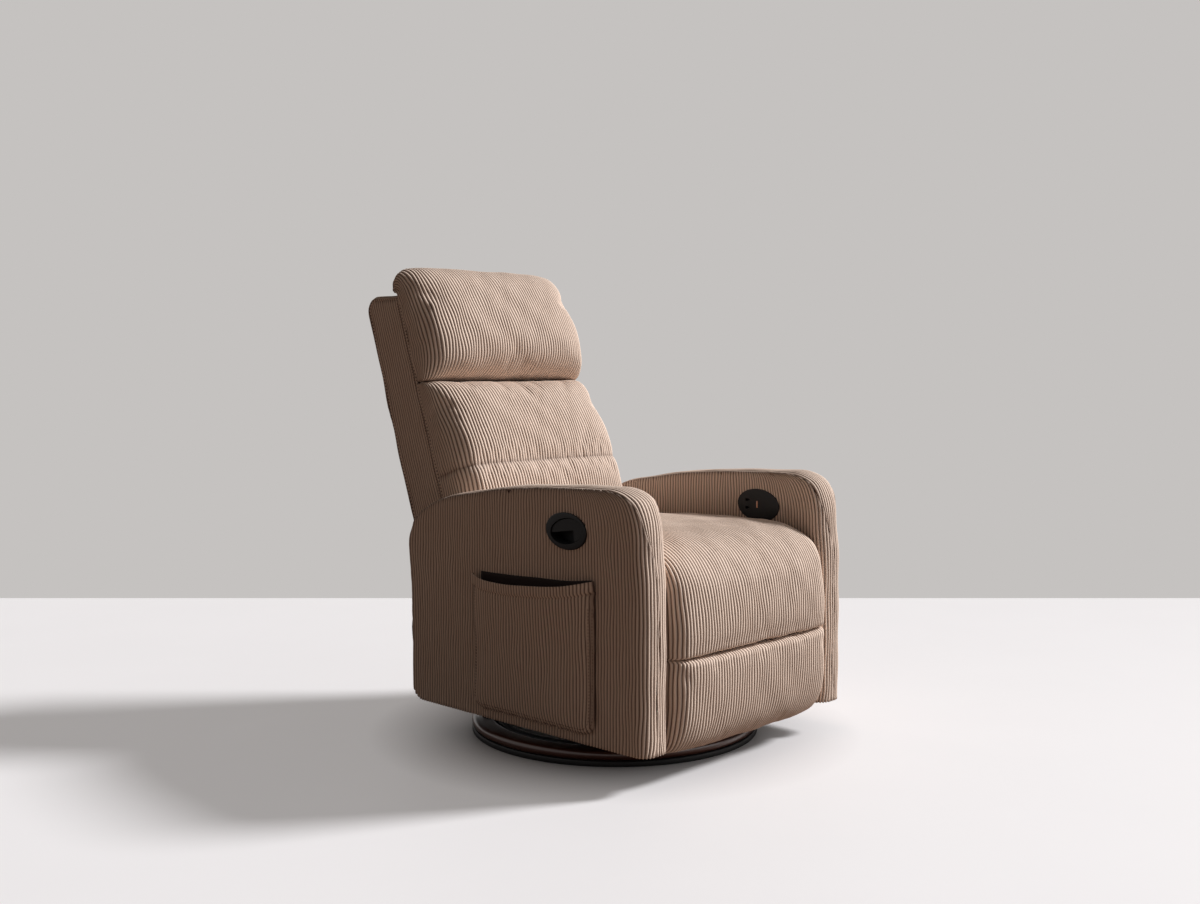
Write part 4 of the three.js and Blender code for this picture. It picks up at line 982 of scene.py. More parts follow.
def arm_surface(s, z):
    """Inset and y of an arm's side at height z, s behind the start of its rounded front."""
    turn = -np.minimum(s, 0) / NOSE_TURN * (1 - 0.13 * np.exp(-(z - ARM_BOTTOM) / 25))
    flat = np.maximum(s, 0)
    back = looked_up(FRONT_BACK, z) * np.exp(-(flat / NOSE_REACH) ** 2)
    swell = looked_up(REAR_SWELL, z) * np.exp(-((SIDE_LENGTH - flat) / 60) ** 2)
    inward, forward = nose_round(turn)
    return ARM_HALF * inward, NOSE_START + flat - NOSE_DEPTH * forward + back + swell


def arm_heights(s):
    """The lowest and highest z of an arm's side at each s."""
    high = looked_up(NOSE_SEAM, np.degrees(-s / NOSE_TURN))
    flat = s > 0
    for _ in range(8):
        high[flat] = looked_up(TOP_SEAM, arm_surface(s[flat], high[flat])[1])
    short = np.clip(FOOT_RADIUS - (SIDE_LENGTH - s), 0, None)
    return HEM + FOOT_RADIUS - np.sqrt(FOOT_RADIUS**2 - short**2), high


def seam_dip(s):
    """How deep a side sinks to its top seam."""
    return SEAM_DIP * np.clip(1 + np.minimum(s, 0) / NOSE_TURN / 0.5, 0, 1)


def arm_seam():
    """The seam between a side and the strip, up the front, over the top, down the rear and under:
    y, z, inset, and the y and z of the strip's crown abreast of it."""
    over = np.linspace(STRIP_AT, SIDE_LENGTH, 300)
    top = arm_heights(over)[1]
    turn = np.linspace(0, np.pi / 2, 12)
    foot = SIDE_LENGTH - FOOT_RADIUS
    s = np.concatenate([
        np.full(RISE_STEPS, STRIP_AT), over, np.full(20, SIDE_LENGTH),
        SIDE_LENGTH - FOOT_RADIUS * (1 - np.cos(turn)), np.linspace(foot, foot - HEM_REACH, 6)[1:],
    ])
    z = np.concatenate([
        np.linspace(HEM, STRIP_FOOT, RISE_STEPS + 1)[:-1], top,
        np.linspace(top[-1], HEM + FOOT_RADIUS, 22)[1:-1],
        HEM + FOOT_RADIUS * (1 - np.sin(turn)), np.full(5, HEM),
    ])
    inset, y = arm_surface(s, z)
    line = np.column_stack([y, z])
    out = outward(line)
    below, behind = np.clip(-out[:, 1], 0, 1), np.clip(out[:, 0], 0, 1)
    rise = (CROWN_TOP + (CROWN_REAR - CROWN_TOP) * behind) * (1 - 0.8 * below)
    crown = line + out * rise[:, None]

    def front(heights):
        return np.column_stack([ARM_FRONT + FRONT_INSET + looked_up(FRONT_BACK, heights), heights])

    rising = np.arange(len(s)) < RISE_STEPS
    nose = np.arange(len(s)) <= np.argmax(y > STRIP_FROM)
    outline = np.vstack([front(np.linspace(STRIP_FOOT, FRONT_BACK[-1][0], 60)), crown[nose][-1:]])
    run = run_of(line[nose & ~rising])
    crown[nose & ~rising] = at_run(outline, run / run[-1] * run_of(outline)[-1])
    crown[rising] = front(z[rising])
    return np.column_stack([line, inset + seam_dip(s), crown])


def outward(path):
    """The direction out of an arm at each point of its seam."""
    ahead = unit(np.gradient(path, axis=0))
    ahead[1:-1] = unit(ahead[1:-1] + 0.5 * (ahead[2:] + ahead[:-2]))
    return np.column_stack([-ahead[:, 1], ahead[:, 0]])


def scallops(wales, count):
    """How far each column of a cut edge hangs below it, as a share, where the ribs end."""
    return np.abs(np.sin(np.pi * np.linspace(0, wales, count))) ** 0.8


def arm_panel(name, side, outward_sign, hole, cloth, seed):
    """One side of an arm's cover, with upright wales, turning inwards round the front. It is drawn
    as the left arm's outer side and then moved, or mirrored, to x = side."""
    wales, s = wale_line(STRIP_AT, SIDE_LENGTH, cloth)
    low, high = arm_heights(s)
    steps = np.linspace(0, 1, 45)
    shares = 0.55 * steps + 0.45 * (0.5 - 0.5 * np.cos(np.pi * steps))
    if hole is not None:
        middle = (hole[1] - HEM) / (high.max() - HEM)
        shares = np.unique(np.concatenate([shares, np.linspace(middle - 0.07, middle + 0.09, 16)]))
    z = low + (high + 1.5 - low) * shares[:, None]
    inset, y = arm_surface(s[None], z)
    edge = np.maximum(high - z, 0) / np.sqrt(1 + np.gradient(high, s) ** 2)
    edge = np.minimum(edge, SIDE_LENGTH - s)
    nose = np.exp(-((y - NOSE_START) ** 2 + (z - 545) ** 2) / 55**2)
    inset = inset + seam_dip(s) * np.exp(-edge / 6)
    z[0] -= 1.5 * scallops(wales, len(s))
    calm = 0.25 + 0.75 / (1 + np.exp((430 - z) / 15))
    grid, weave = ribbed(
        np.stack([ARM_OUTER - inset, y, z], axis=-1), wales, z, np.exp(-edge / 12),
        (ARM_OUTER - 39, NOSE_START + 200, 300), cloth, seed, pucker=0.6 * (1 + 0.8 * nose) * calm,
    )
    grid[..., 0] = np.minimum(grid[..., 0], ARM_OUTER + 0.2)
    grid[-1, :, 2] = np.maximum(grid[-1, :, 2], z[-1])
    grid, weave = flanged(grid, weave, ARM_OUTER - ARM_HALF + 0.5)
    grid[..., 0] = outward_sign * (grid[..., 0] - ARM_OUTER) + side

    def behind(points):
        deep = np.clip(np.abs(points[:, 0] - side), 0, ARM_HALF)
        turned = np.arccos(1 - deep / ARM_HALF) * (points[:, 1] < NOSE_START + 60)
        moved = points.copy()
        moved[:, 0] = side - outward_sign * (deep + PANEL_THICKNESS * np.cos(turned))
        moved[:, 1] += PANEL_THICKNESS * np.sin(turned)
        return moved

    drop = None if hole is None else lambda points: in_oval(points, *hole)
    return backed_piece(name, grid, weave, behind, drop)


def flanged(grid, weave, middle):
    """Adds the turned-in edges of an arm's side, which lie under the strip at the top and front."""
    out = outward(grid[-1, :, 1:])
    rows, threads = [grid], [weave]
    for reach in (3, 8):
        row = grid[-1:].copy()
        row[..., 0] = np.maximum(row[..., 0] - reach, middle)
        row[0, :, 1:] -= out * (0.4 + 0.18 * reach)
        rows.append(row)
        threads.append(weave[-1:])
    grid, weave = np.concatenate(rows), np.concatenate(threads)
    columns, threads = [grid], [weave]
    for reach in (1.4, 3.6):
        column = grid[:, :1].copy()
        column[..., 0] = np.maximum(column[..., 0] - reach, middle)
        column[..., 1] += 0.5 * reach
        columns.insert(0, column)
        threads.insert(0, weave[:, :1])
    return np.concatenate(columns, axis=1), np.concatenate(threads, axis=1)


def in_oval(points, y, z, half_length, half_height, tilt, axis=1):
    """Which points lie in a tilted oval, drawn across axis and z, and the points pulled onto its line."""
    across, up = points[:, axis] - y, points[:, 2] - z
    c, s = math.cos(tilt), math.sin(tilt)
    a, b = (across * c - up * s) / half_length, (across * s + up * c) / half_height
    far = np.hypot(a, b)
    pulled = points.copy()
    a, b = a / np.maximum(far, 1e-9) * half_length, b / np.maximum(far, 1e-9) * half_height
    pulled[:, axis] = y + a * c + b * s
    pulled[:, 2] = z - a * s + b * c
    return far < 1, pulled


def arm_band(name, side, cloth, seed):
    """The strip over an arm's top and rear, narrowing down its front, with wales along it."""
    path = arm_seam()
    runs = stations(run_of(path)[-1], ROW_STEP)
    path = at_run(path, runs)
    line, crown = path[:, :2], path[:, 3:]
    wide = (ARM_HALF - path[:, 2])[:, None]
    full = ARM_HALF - SEAM_DIP
    pitch = cloth.wale / MM
    wales = round(2 * (full + 1) / pitch)
    count = wales * RIB_STEPS + 1
    place = np.linspace(-full, full, count)[None]
    squeeze = np.maximum((full / wide) ** 2 - 1, 0) * (place / full) ** 2
    x = place / np.sqrt(1 + squeeze)
    least = square_share(np.minimum(wide / ARM_HALF, 0.999))
    rise = np.clip((square_share(x / ARM_HALF) - least) / (1 - least), 0, 1)
    tuck = 1.6 * np.exp(-(wide - np.abs(x)) / 1.5)
    out = outward(line)
    yz = line[:, None] + (crown - line)[:, None] * rise[..., None] - out[:, None] * tuck[..., None]
    grid = with_x(side + x, yz)
    grid[0, :, 2] -= 1.6 * scallops(wales, count)
    wale = np.linspace(0, wales, count)
    seam = np.exp(-np.minimum(wale, wales - wale) * pitch * (wide / full) / 7)
    inner = line - out * BAND_THICKNESS
    reach = np.maximum(wide - 1, 1.5)
    closure = np.stack([np.concatenate([side + x, inner], axis=1) for x in (reach, -reach)], axis=1)
    heart = (side, (ARM_FRONT + ARM_REAR) / 2, 300)
    ribs = 1 / (1 + squeeze)
    grid, weave = ribbed(grid, wales, runs[:, None], seam, heart, cloth, seed, rib=ribs, pucker=0.5)
    grid[..., 2] = np.maximum(grid[..., 2], ARM_BOTTOM - 1.5)
    return closed_piece(name, grid, weave, closure)


def welted(name, line, cloth, body):
    """A thin piped ridge along a line of the back, crossed by the cloth's ribs."""
    pitch = cloth.wale / MM
    places = np.arange(0, run_of(line, 3)[-1], pitch / 4)
    centre = at_run(line, places, 3)
    radius = WELT_RADIUS * (0.78 + 0.3 * np.abs(np.sin(np.pi * places / pitch)))
    ahead = unit(np.gradient(centre, axis=0))
    first = unit(np.cross(ahead, (1.0, 0.0, 0.0)))
    turn = np.linspace(0, 2 * np.pi, WELT_SIDES, endpoint=False)[:, None]
    ring = first[:, None] * np.cos(turn) + np.cross(ahead, first)[:, None] * np.sin(turn)
    loops = leaned(centre[:, None] + ring * radius[:, None, None])
    weave = np.full(loops.shape, 0.35)
    weave[..., 0] = (places / pitch)[:, None]
    weave[..., 1] = np.arange(WELT_SIDES) * 0.3
    mesh = cloth_mesh(name, loops.reshape(-1, 3), loop_faces(*loops.shape[:2]), weave.reshape(-1, 3))
    turned_out(mesh)
    return fitted(new_piece(name, mesh), body)


# Ovals cut in the arms' sides: middle y and z, half length, half height, tilt
LATCH_OVAL = (-184, 486, 50, 31, math.radians(8))
PANEL_OVAL = (-207, 497, 51, 28, 0)


class RECLINER_OT_arms(bpy.types.Operator):
    """Makes both arms: outer and inner sides and the strip over the top between them"""

    bl_idname = "recliner.arms"
    bl_label = "Arms"

    def execute(self, context):
        cloth = context.scene.recliner_cloth
        rows = (("right", -1, LATCH_OVAL, None, 50), ("left", 1, None, PANEL_OVAL, 70))
        for word, sign, outer_hole, inner_hole, seed in rows:
            arm = f"arm_{word}"
            outer = arm_panel(f"{arm}_outer", sign * ARM_OUTER, sign, outer_hole, cloth, seed)
            inner = arm_panel(f"{arm}_inner", sign * ARM_INNER, -sign, inner_hole, cloth, seed + 5)
            band = arm_band(f"{arm}_band", sign * (ARM_OUTER + ARM_INNER) / 2, cloth, seed + 9)
            fitted(band, "seat_frame", f"arm_cover_{word}")
            fitted(outer, "seat_frame")
            fitted(inner, "seat_frame")
        return {"FINISHED"}


# Side pocket: the height of its mouth at places along the arm
POCKET_MOUTH = np.array([[396, -273], [381, -205], [371, -110], [366, -10], [369, 45], [374, 74]])
POCKET_SHIFT = 10
POCKET_LONGER = 8
POCKET_CORNER = 34
POCKET_HEM = 23
POCKET_WALL = 3.2
POCKET_EDGE = 6
POCKET_SEAMS = (5, 12)


def bell(distance, width):
    """A smooth ridge, 1 at no distance."""
    return np.exp(-(distance / width) ** 2)


class RECLINER_OT_pocket(bpy.types.Operator):
    """Makes the side pocket, sewn to the right arm at three sides and gaping at the top"""

    bl_idname = "recliner.pocket"
    bl_label = "Side pocket"

    def execute(self, context):
        cloth = context.scene.recliner_cloth
        low, high = edges("side_pocket")
        front, rear, bottom = low[1] + POCKET_SHIFT, high[1] + POCKET_SHIFT + POCKET_LONGER, low[2] + 2
        wales, y = wale_line(front, rear, cloth)
        top = between(POCKET_MOUTH[:, 0], POCKET_MOUTH[:, 1], y - POCKET_SHIFT)
        side = np.minimum(y - front, rear - y)
        short = np.clip(POCKET_CORNER - side, 0, None)
        foot = bottom + POCKET_CORNER - np.sqrt(POCKET_CORNER**2 - short**2)
        shares = np.unique(np.concatenate([np.linspace(0, 0.9, 34), np.linspace(0.9, 1, 13)]))[:, None]
        z = foot + (top - foot) * shares
        edge = np.minimum(side, z - foot)
        across = (y - front) / (rear - front)
        gape = 20 * np.clip(np.sin(np.pi * across), 0, 1) ** 0.55 * shares**1.6
        belly = 13 * (1 - np.exp(-edge / 13)) * (1 - 0.6 * shares)
        below = top - POCKET_HEM - z
        hem = 1 / (1 + np.exp(below / 0.8))
        stitch = bell(below, 2.6) + sum(bell(edge - seam, 1.9) for seam in POCKET_SEAMS) * (1 - hem)
        sag = 1.6 * ripple(across * 2.2, shares * 1.4, 91) * (1 - np.exp(-edge / 20))
        x = -(ARM_OUTER + POCKET_EDGE + gape + belly + 3 * hem - 3 * stitch + sag)
        # This seam nearness darkens the colour at the pocket's edges and stitch lines, as painted shade
        seam = np.clip(np.exp(-edge / 9) + 0.5 * stitch, 0, 1)
        heart = (-ARM_OUTER + 60, (front + rear) / 2, 230)
        grid = np.stack([x, np.broadcast_to(y, z.shape), z], axis=-1)
        grid, weave = ribbed(grid, wales, z, seam, heart, cloth, 93, rib=0.9, pucker=0.7)
        back = grid.copy()
        back[..., 0] = np.minimum(x + POCKET_WALL, -ARM_OUTER - 0.4)
        pocket = fitted(doubled("pocket", grid, back, weave), "seat_frame", "side_pocket")
        size = ((rear - front) * MM, (top.mean() - bottom) * MM)
        out = (-1, 0, 0)
        stitches("pocket_stitch_hem", self.along(grid, top - POCKET_HEM), out, "seat_frame")
        # A dark sheet behind the mouth, as painted shade
        self.lining(y, top, across)
        for inset in POCKET_SEAMS:
            line = self.onto(grid, y, z, self.border(front, rear, bottom, inset, top))
            stitches(f"pocket_stitch_{inset}", line, out, "seat_frame")
        return {"FINISHED"}

    def lining(self, y, top, across):
        """A dark sheet on the arm behind the mouth, which shows above the sagging hem: painted shade for the
        pocket's shaded inside.
        """
        inside = slice(8, -8, RIB_STEPS)
        arch = np.sin(np.pi * across[inside])
        up = np.linspace(0, 1, 14)[:, None]
        rise = 21 * arch**0.5 * (0.35 + 0.65 * across[inside])
        z = top[inside] - 90 + (rise + 90) * up
        out = 2.2 + 1.2 * np.sin(np.pi * up) * arch
        grid = np.stack([-(ARM_OUTER + out), np.broadcast_to(y[inside], z.shape), z], axis=-1)
        piece = doubled("pocket_lining", grid, grid + (1.4, 0, 0), np.zeros_like(grid))
        fitted(piece, "seat_frame", finish="lining")

    def along(self, grid, heights):
        """Points on the pocket at one height for each place along it."""
        keep = range(len(heights))[RIB_STEPS // 2 + 8:-8:RIB_STEPS]
        return np.array([
            (np.interp(heights[i], grid[:, i, 2], grid[:, i, 0]), grid[0, i, 1], heights[i]) for i in keep
        ])

    def border(self, front, rear, bottom, inset, top):
        """A line inside the pocket's two sides and foot, as y and z."""
        low, a, b = bottom + inset, front + inset, rear - inset
        r = POCKET_CORNER - inset
        turn = np.linspace(0, np.pi / 2, 12)
        left = np.column_stack([a + r - r * np.cos(turn), low + r - r * np.sin(turn)])
        right = np.column_stack([b - r + r * np.sin(turn), low + r - r * np.cos(turn)])
        up = np.linspace(top.min() - POCKET_HEM, low + r, 24)[:-1]
        start = np.column_stack([np.full(len(up), a), up])
        end = np.column_stack([np.full(len(up), b), up[::-1]])
        middle = np.column_stack([np.linspace(a + r, b - r, 30)[1:-1], np.full(28, low)])
        return np.vstack([start, left, middle, right, end])

    def onto(self, grid, y, z, line):
        """Points of a line in y and z, laid on the pocket's surface."""
        columns = [int(np.argmin(np.abs(y - place))) for place in line[:, 0]]
        x = [np.interp(up, z[:, i], grid[:, i, 0]) for i, up in zip(columns, line[:, 1])]
        smooth = np.convolve(np.pad(x, 2, mode="edge"), np.ones(5) / 5, mode="valid")
        return np.column_stack([smooth, line])


# Back shell, in the back's own frame
SHELL_FRONT = -12
SHELL_FOOT = -40
SHELL_REAR = np.array([[-40, 102], [90, 110], [235, 114], [430, 113], [640, 111]], float)
SHELL_TOP = 624
SHELL_CORNER = 34
SHELL_EDGE = 8
SHELL_SIDE_THICKNESS = 26


def shell_rear(up):
    """How deep the shell is at each height up the back."""
    places = np.clip(up, SHELL_REAR[0, 0], SHELL_REAR[-1, 0])
    return between(SHELL_REAR[:, 1], SHELL_REAR[:, 0], places.ravel()).reshape(up.shape)


class RECLINER_OT_back_shell(bpy.types.Operator):
    """Makes the shell behind the back cushions: two sides, the rear and the welts between them"""

    bl_idname = "recliner.back_shell"
    bl_label = "Back shell"

    def execute(self, context):
        cloth = context.scene.recliner_cloth
        half = edges("back_side_left")[1][0]
        path = self.rear_path()
        for word, sign in (("left", 1), ("right", -1)):
            fitted(self.side_panel(f"shell_{word}", sign, half, cloth), "back", f"back_side_{word}")
            self.trims(word, sign, half, path, cloth)
        fitted(self.rear_panel(half, path, cloth), "back", "back_outer_panel")
        return {"FINISHED"}

    def rear_path(self):
        """The rear panel's middle line: up the rear, round the top corner and forward."""
        slope = math.tan(BACK_LEAN)
        turn = np.linspace(0, math.pi / 2 + BACK_LEAN, 16)
        up = np.linspace(SHELL_FOOT, SHELL_TOP - 4, 60)
        depth = shell_rear(np.array([SHELL_TOP]))[0] - SHELL_CORNER
        top = SHELL_TOP + SHELL_EDGE + (depth - SHELL_FRONT) * slope
        middle = top - SHELL_CORNER / math.cos(BACK_LEAN)
        up = up[up < middle - 4]
        arc = np.column_stack([depth + SHELL_CORNER * np.cos(turn), middle + SHELL_CORNER * np.sin(turn)])
        ahead = np.linspace(arc[-1, 0], SHELL_FRONT + 1, 12)[1:]
        over = np.column_stack([ahead, arc[-1, 1] + (ahead - arc[-1, 0]) * slope])
        return np.vstack([np.column_stack([shell_rear(up), up]), arc, over])

    def side_panel(self, name, sign, half, cloth):
        span = SHELL_REAR[2][1] - SHELL_EDGE - SHELL_FRONT
        wales, depth = wale_line(SHELL_FRONT, SHELL_FRONT + span, cloth)
        share = np.linspace(0, 1, len(depth))
        radius = SHELL_CORNER - SHELL_EDGE
        past = np.clip(depth - (depth[-1] - radius), 0, None)
        high = SHELL_TOP + (depth - SHELL_FRONT) * math.tan(BACK_LEAN)
        high = high - (radius - np.sqrt(np.clip(radius**2 - past**2, 0, None))) * 1.15
        up = SHELL_FOOT + (high - SHELL_FOOT) * np.linspace(0, 1, 78)[:, None]
        rear = shell_rear(up) - SHELL_EDGE
        deep = SHELL_FRONT + (rear - SHELL_FRONT) * share
        edge = np.minimum(np.minimum(deep - SHELL_FRONT, (high - up) / math.cos(BACK_LEAN)), rear - deep)
        line = bell(edge - 8, 2)
        grid = np.stack([half - 2.6 * np.exp(-edge / 6) - line, deep, up], axis=-1)
        seam = np.clip(np.exp(-edge / 8) + 0.4 * line, 0, 1)
        grid, weave = ribbed(grid, wales, up, seam, (half - 80, 40, 300), cloth, 101, pucker=0.6)
        grid[..., 0] = np.minimum(grid[..., 0], half + 0.3) * sign
        inner = sign * (half - SHELL_SIDE_THICKNESS)

        def behind(points):
            return np.column_stack([np.full(len(points), inner), points[:, 1:]])

        return backed_piece(name, leaned(grid), weave, behind)

    def rear_panel(self, half, path, cloth):
        runs = stations(run_of(path)[-1], ROW_STEP)
        path = at_run(path, runs)
        normal = beside(path)
        flat = half - SHELL_EDGE
        wide = 2 * flat + SHELL_EDGE * math.pi
        wales, s = wale_line(-wide / 2, wide / 2, cloth)
        x, turn = rounded(s, flat, SHELL_EDGE)
        inward = SHELL_EDGE * (1 - np.cos(turn)) - 2 * np.clip(1 - (x / half) ** 4, 0, 1)
        grid = with_x(x, path[:, None] - normal[:, None] * inward[:, None])
        seam = np.clip(np.exp(-(half - np.abs(x)) / 7), 0, 1)
        grid, weave = ribbed(grid, wales, runs[:, None], seam, (0, 20, 300), cloth, 111, pucker=0.4)
        grid[..., 0] = np.clip(grid[..., 0], -half - 0.3, half + 0.3)
        inner = path - normal * SHELL_EDGE
        lips = (half - 1, 1 - half)
        closure = np.stack([np.column_stack([np.full(len(path), x), inner]) for x in lips], axis=1)
        return closed_piece("shell_rear", leaned(grid), weave, leaned(closure))

    def trims(self, word, sign, half, path, cloth):
        """The piped welts and the stitch line along the shell's front and rear edges."""
        def line(inset, depth, up):
            return np.column_stack(np.broadcast_arrays(sign * (half - inset), depth, up))

        seam = path - beside(path) * (SHELL_EDGE + 0.6)
        seam = seam[seam[:, 0] > SHELL_FRONT + 3]
        front = np.linspace(SHELL_FOOT, SHELL_TOP - 3, 90)
        welted(f"shell_welt_rear_{word}", line(2.4, seam[:, 0], seam[:, 1]), cloth, "back")
        welted(f"shell_welt_front_{word}", line(2.4, SHELL_FRONT + 2.2, front), cloth, "back")
        up = np.linspace(SHELL_FOOT + 8, SHELL_TOP - 8, 60)
        stitches(f"shell_stitch_{word}", leaned(line(0.7, SHELL_FRONT + 8, up)), (sign, 0, 0), "back")


# The rear flap's middle line, y and z, from the skirt to the back
FLAP_LINE = [[294, 247], [304, 256], [309, 268], [315, 281], [325, 292], [333, 301]]


class RECLINER_OT_rear_cover(bpy.types.Operator):
    """Makes the skirt across the rear and the flap that joins it to the back"""

    bl_idname = "recliner.rear_cover"
    bl_label = "Rear cover"

    def execute(self, context):
        cloth = context.scene.recliner_cloth
        low, high = edges("rear_skirt")
        wales, x = wale_line(low[0], high[0], cloth)
        z = np.linspace(low[2], high[2], 26)[:, None]
        edge = np.minimum(np.minimum(high[0] - np.abs(x), z - low[2]), high[2] - z)
        grid = np.stack(np.broadcast_arrays(x, high[1] - 2.5 * np.exp(-edge / 6), z), axis=-1)
        seam = np.exp(-edge / 9)
        grid, weave = ribbed(grid, wales, z, seam, (0, low[1] - 60, 150), cloth, 131, pucker=0.6)
        grid[..., 1] = np.minimum(grid[..., 1], high[1] + 0.3)
        grid[..., 0] = np.clip(grid[..., 0], low[0], high[0])
        inlet_low, inlet_high = edges("power_inlet")
        middle = (inlet_low + inlet_high) / 2
        hole = (inlet_high[0] - inlet_low[0]) / 2 + 0.5

        def behind(points):
            return np.column_stack([points[:, 0], np.full(len(points), high[1] - 9), points[:, 2]])

        def drop(points):
            return in_oval(points, middle[0], middle[2], hole, hole, 0, axis=0)

        fitted(backed_piece("rear_skirt_cloth", grid, weave, behind, drop), "seat_frame", "rear_skirt")
        self.flap(high[0] - 1, cloth)
        return {"FINISHED"}

    def flap(self, half, cloth):
        path = curve(FLAP_LINE, 6)
        runs = stations(run_of(path)[-1], 5)
        path = at_run(path, runs)
        wales, x = wale_line(-half, half, cloth)
        run = runs[:, None]
        normal = beside(path)[:, None]
        folds = 2.5 * np.sin(np.pi * run / runs[-1]) * ripple(x / 170, run / 300, 137)
        grid = with_x(x, path[:, None] + normal * folds[..., None])
        front, weave = ribbed(grid, wales, run, run * 0, (0, 200, 200), cloth, 139, rib=0.8)
        back = grid.copy()
        back[..., 1:] -= 3 * normal
        flap = fitted(doubled("rear_flap", front, back, weave))
        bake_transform(flap)


# Hard pieces, made with Blender's own mesh tools
def only(piece):
    """Makes a piece the one that is selected and active."""
    bpy.ops.object.select_all(action="DESELECT")
    piece.select_set(True)
    bpy.context.view_layer.objects.active = piece


def edit(piece, kind="FACE"):
    """Opens a piece for editing."""
    only(piece)
    bpy.ops.object.mode_set(mode="EDIT")
    bpy.ops.mesh.select_mode(type=kind)


def pick(test, kind="faces"):
    """Selects only the faces or edges, of the piece in edit mode, whose middle passes a test."""
    bpy.ops.mesh.select_all(action="DESELECT")
    mesh = bpy.context.edit_object.data
    bm = bmesh.from_edit_mesh(mesh)
    for part in getattr(bm, kind):
        middle = sum((v.co for v in part.verts), Vector()) / len(part.verts)
        normal = np.array(part.normal) if kind == "faces" else np.zeros(3)
        if test(in_mm(middle), normal):
            part.select_set(True)
    bm.select_flush(True)
    bmesh.update_edit_mesh(mesh)


def settled(piece):
    """Leaves edit mode with the doubles merged, the faces pointing out, and sharp edges kept."""
    bpy.ops.mesh.select_all(action="SELECT")
    bpy.ops.mesh.remove_doubles(threshold=0.00001)
    bpy.ops.mesh.normals_make_consistent(inside=False)
    bpy.ops.object.mode_set(mode="OBJECT")
    piece.data.shade_smooth()
    only(piece)
    bpy.ops.object.shade_smooth_by_angle(angle=math.radians(30), keep_sharp_edges=True)
    return piece


def renamed(name, size=None):
    """Names the piece just added, scales it if asked, and sets its place into its mesh."""
    piece = bpy.context.active_object
    piece.name = name
    if size:
        piece.scale = size
    only(piece)
    bpy.ops.object.transform_apply(location=True, rotation=True, scale=True)
    return piece


def pushed(way, depth):
    """Extrudes the picked faces along an axis, by its number."""
    move = [0.0, 0.0, 0.0]
    move[way] = depth * MM
    bpy.ops.mesh.extrude_region_move(TRANSFORM_OT_translate={"value": move})


RING_STEPS = 160


def turned_ring(name, low, high, width, rounding, segments):
    """A ring spun around the swivel axis from a rectangle with rounded corners."""
    height = high[2] - low[2]
    bpy.ops.mesh.primitive_plane_add(
        size=1, rotation=(math.pi / 2, 0, 0),
        location=to_frame((high[0] - width / 2, 0, low[2] + height / 2)),
    )
    piece = renamed(name, (width * MM, height * MM, 1))
    edit(piece, "VERT")
    bpy.ops.mesh.select_all(action="SELECT")
    bpy.ops.mesh.bevel(offset=rounding * MM, segments=segments, affect="VERTICES")
    bpy.ops.mesh.select_all(action="SELECT")
    bpy.ops.mesh.delete(type="ONLY_FACE")
    bpy.ops.mesh.select_all(action="SELECT")
    bpy.ops.mesh.spin(steps=RING_STEPS, angle=2 * math.pi, center=tuple(SWIVEL), axis=(0, 0, 1))
    return settled(piece)


# Node, width, corner radius, slot, steps round a corner
RINGS = [
    ("floor_ring", 48, 2.5, "black_plastic", 3), ("base_ring", 48, 9, "walnut", 7),
    ("base_hoop", 14, 3, "black_steel", 3),
]


class RECLINER_OT_base(bpy.types.Operator):
    """Makes the floor ring, the walnut ring and the steel hoop of the base"""

    bl_idname = "recliner.base"
    bl_label = "Base rings"

    def execute(self, context):
        for node, width, rounding, slot, segments in RINGS:
            ring = turned_ring(f"{node}_round", *edges(node), width, rounding, segments)
            fitted(ring, "base", node, slot=slot)
        return {"FINISHED"}


OVAL_TILT = 4
LATCH_PLACE = (-181, 485.5)
LATCH_TURN = 12
LATCH_SHIFT = (-3, 0.5)
PANEL_PLACE = (-209, 495.5)
PANEL_SHIFT = (2, 1.5)
# Two sockets and the light's seat: middle y and z, half sizes, depth
WELLS = [(-180, 488, 6.25, 2.55, 9), (-180, 506, 6.25, 2.55, 9), (-207, 497, 1.9, 7.7, 1.6)]


def oval_disc(name, low, high, place, half_length, half_height):
    """A flat oval facing along x, from x low to high, with its rear end a little raised."""
    turned = Matrix.Rotation(math.radians(OVAL_TILT), 3, "X") @ Matrix.Rotation(math.pi / 2, 3, "Y")
    bpy.ops.mesh.primitive_cylinder_add(
        vertices=80, radius=1, depth=1, location=to_frame(((low + high) / 2, *place)),
        rotation=turned.to_euler(),
    )
    piece = renamed(name, (half_height * MM, half_length * MM, (high - low) * MM))
    edit(piece)
    return piece


def inset_cap(facing, rim, deep, place=None, turn=0, shift=(0, 0)):
    """Insets the cap that faces one way along x by a rim, turns and shifts it, and extrudes it along x."""
    pick(lambda spot, normal: normal[0] * facing > 0.9)
    bpy.ops.mesh.inset(thickness=rim * MM, depth=0)
    if turn:
        bpy.ops.transform.rotate(
            value=math.radians(turn), orient_axis="X", center_override=to_frame((0, *place)),
        )
    bpy.ops.transform.translate(value=(0, shift[0] * MM, shift[1] * MM))
    pushed(0, deep)


def bevel_rim(x, place, half_length, half_height, width):
    """Rounds the edges at x that lie on or outside an oval."""
    def outside(spot, _):
        far = math.hypot((spot[1] - place[0]) / half_length, (spot[2] - place[1]) / half_height)
        return abs(spot[0] - x) < 0.05 and far > 1

    pick(outside, "edges")
    bpy.ops.mesh.bevel(offset=width * MM, segments=3)


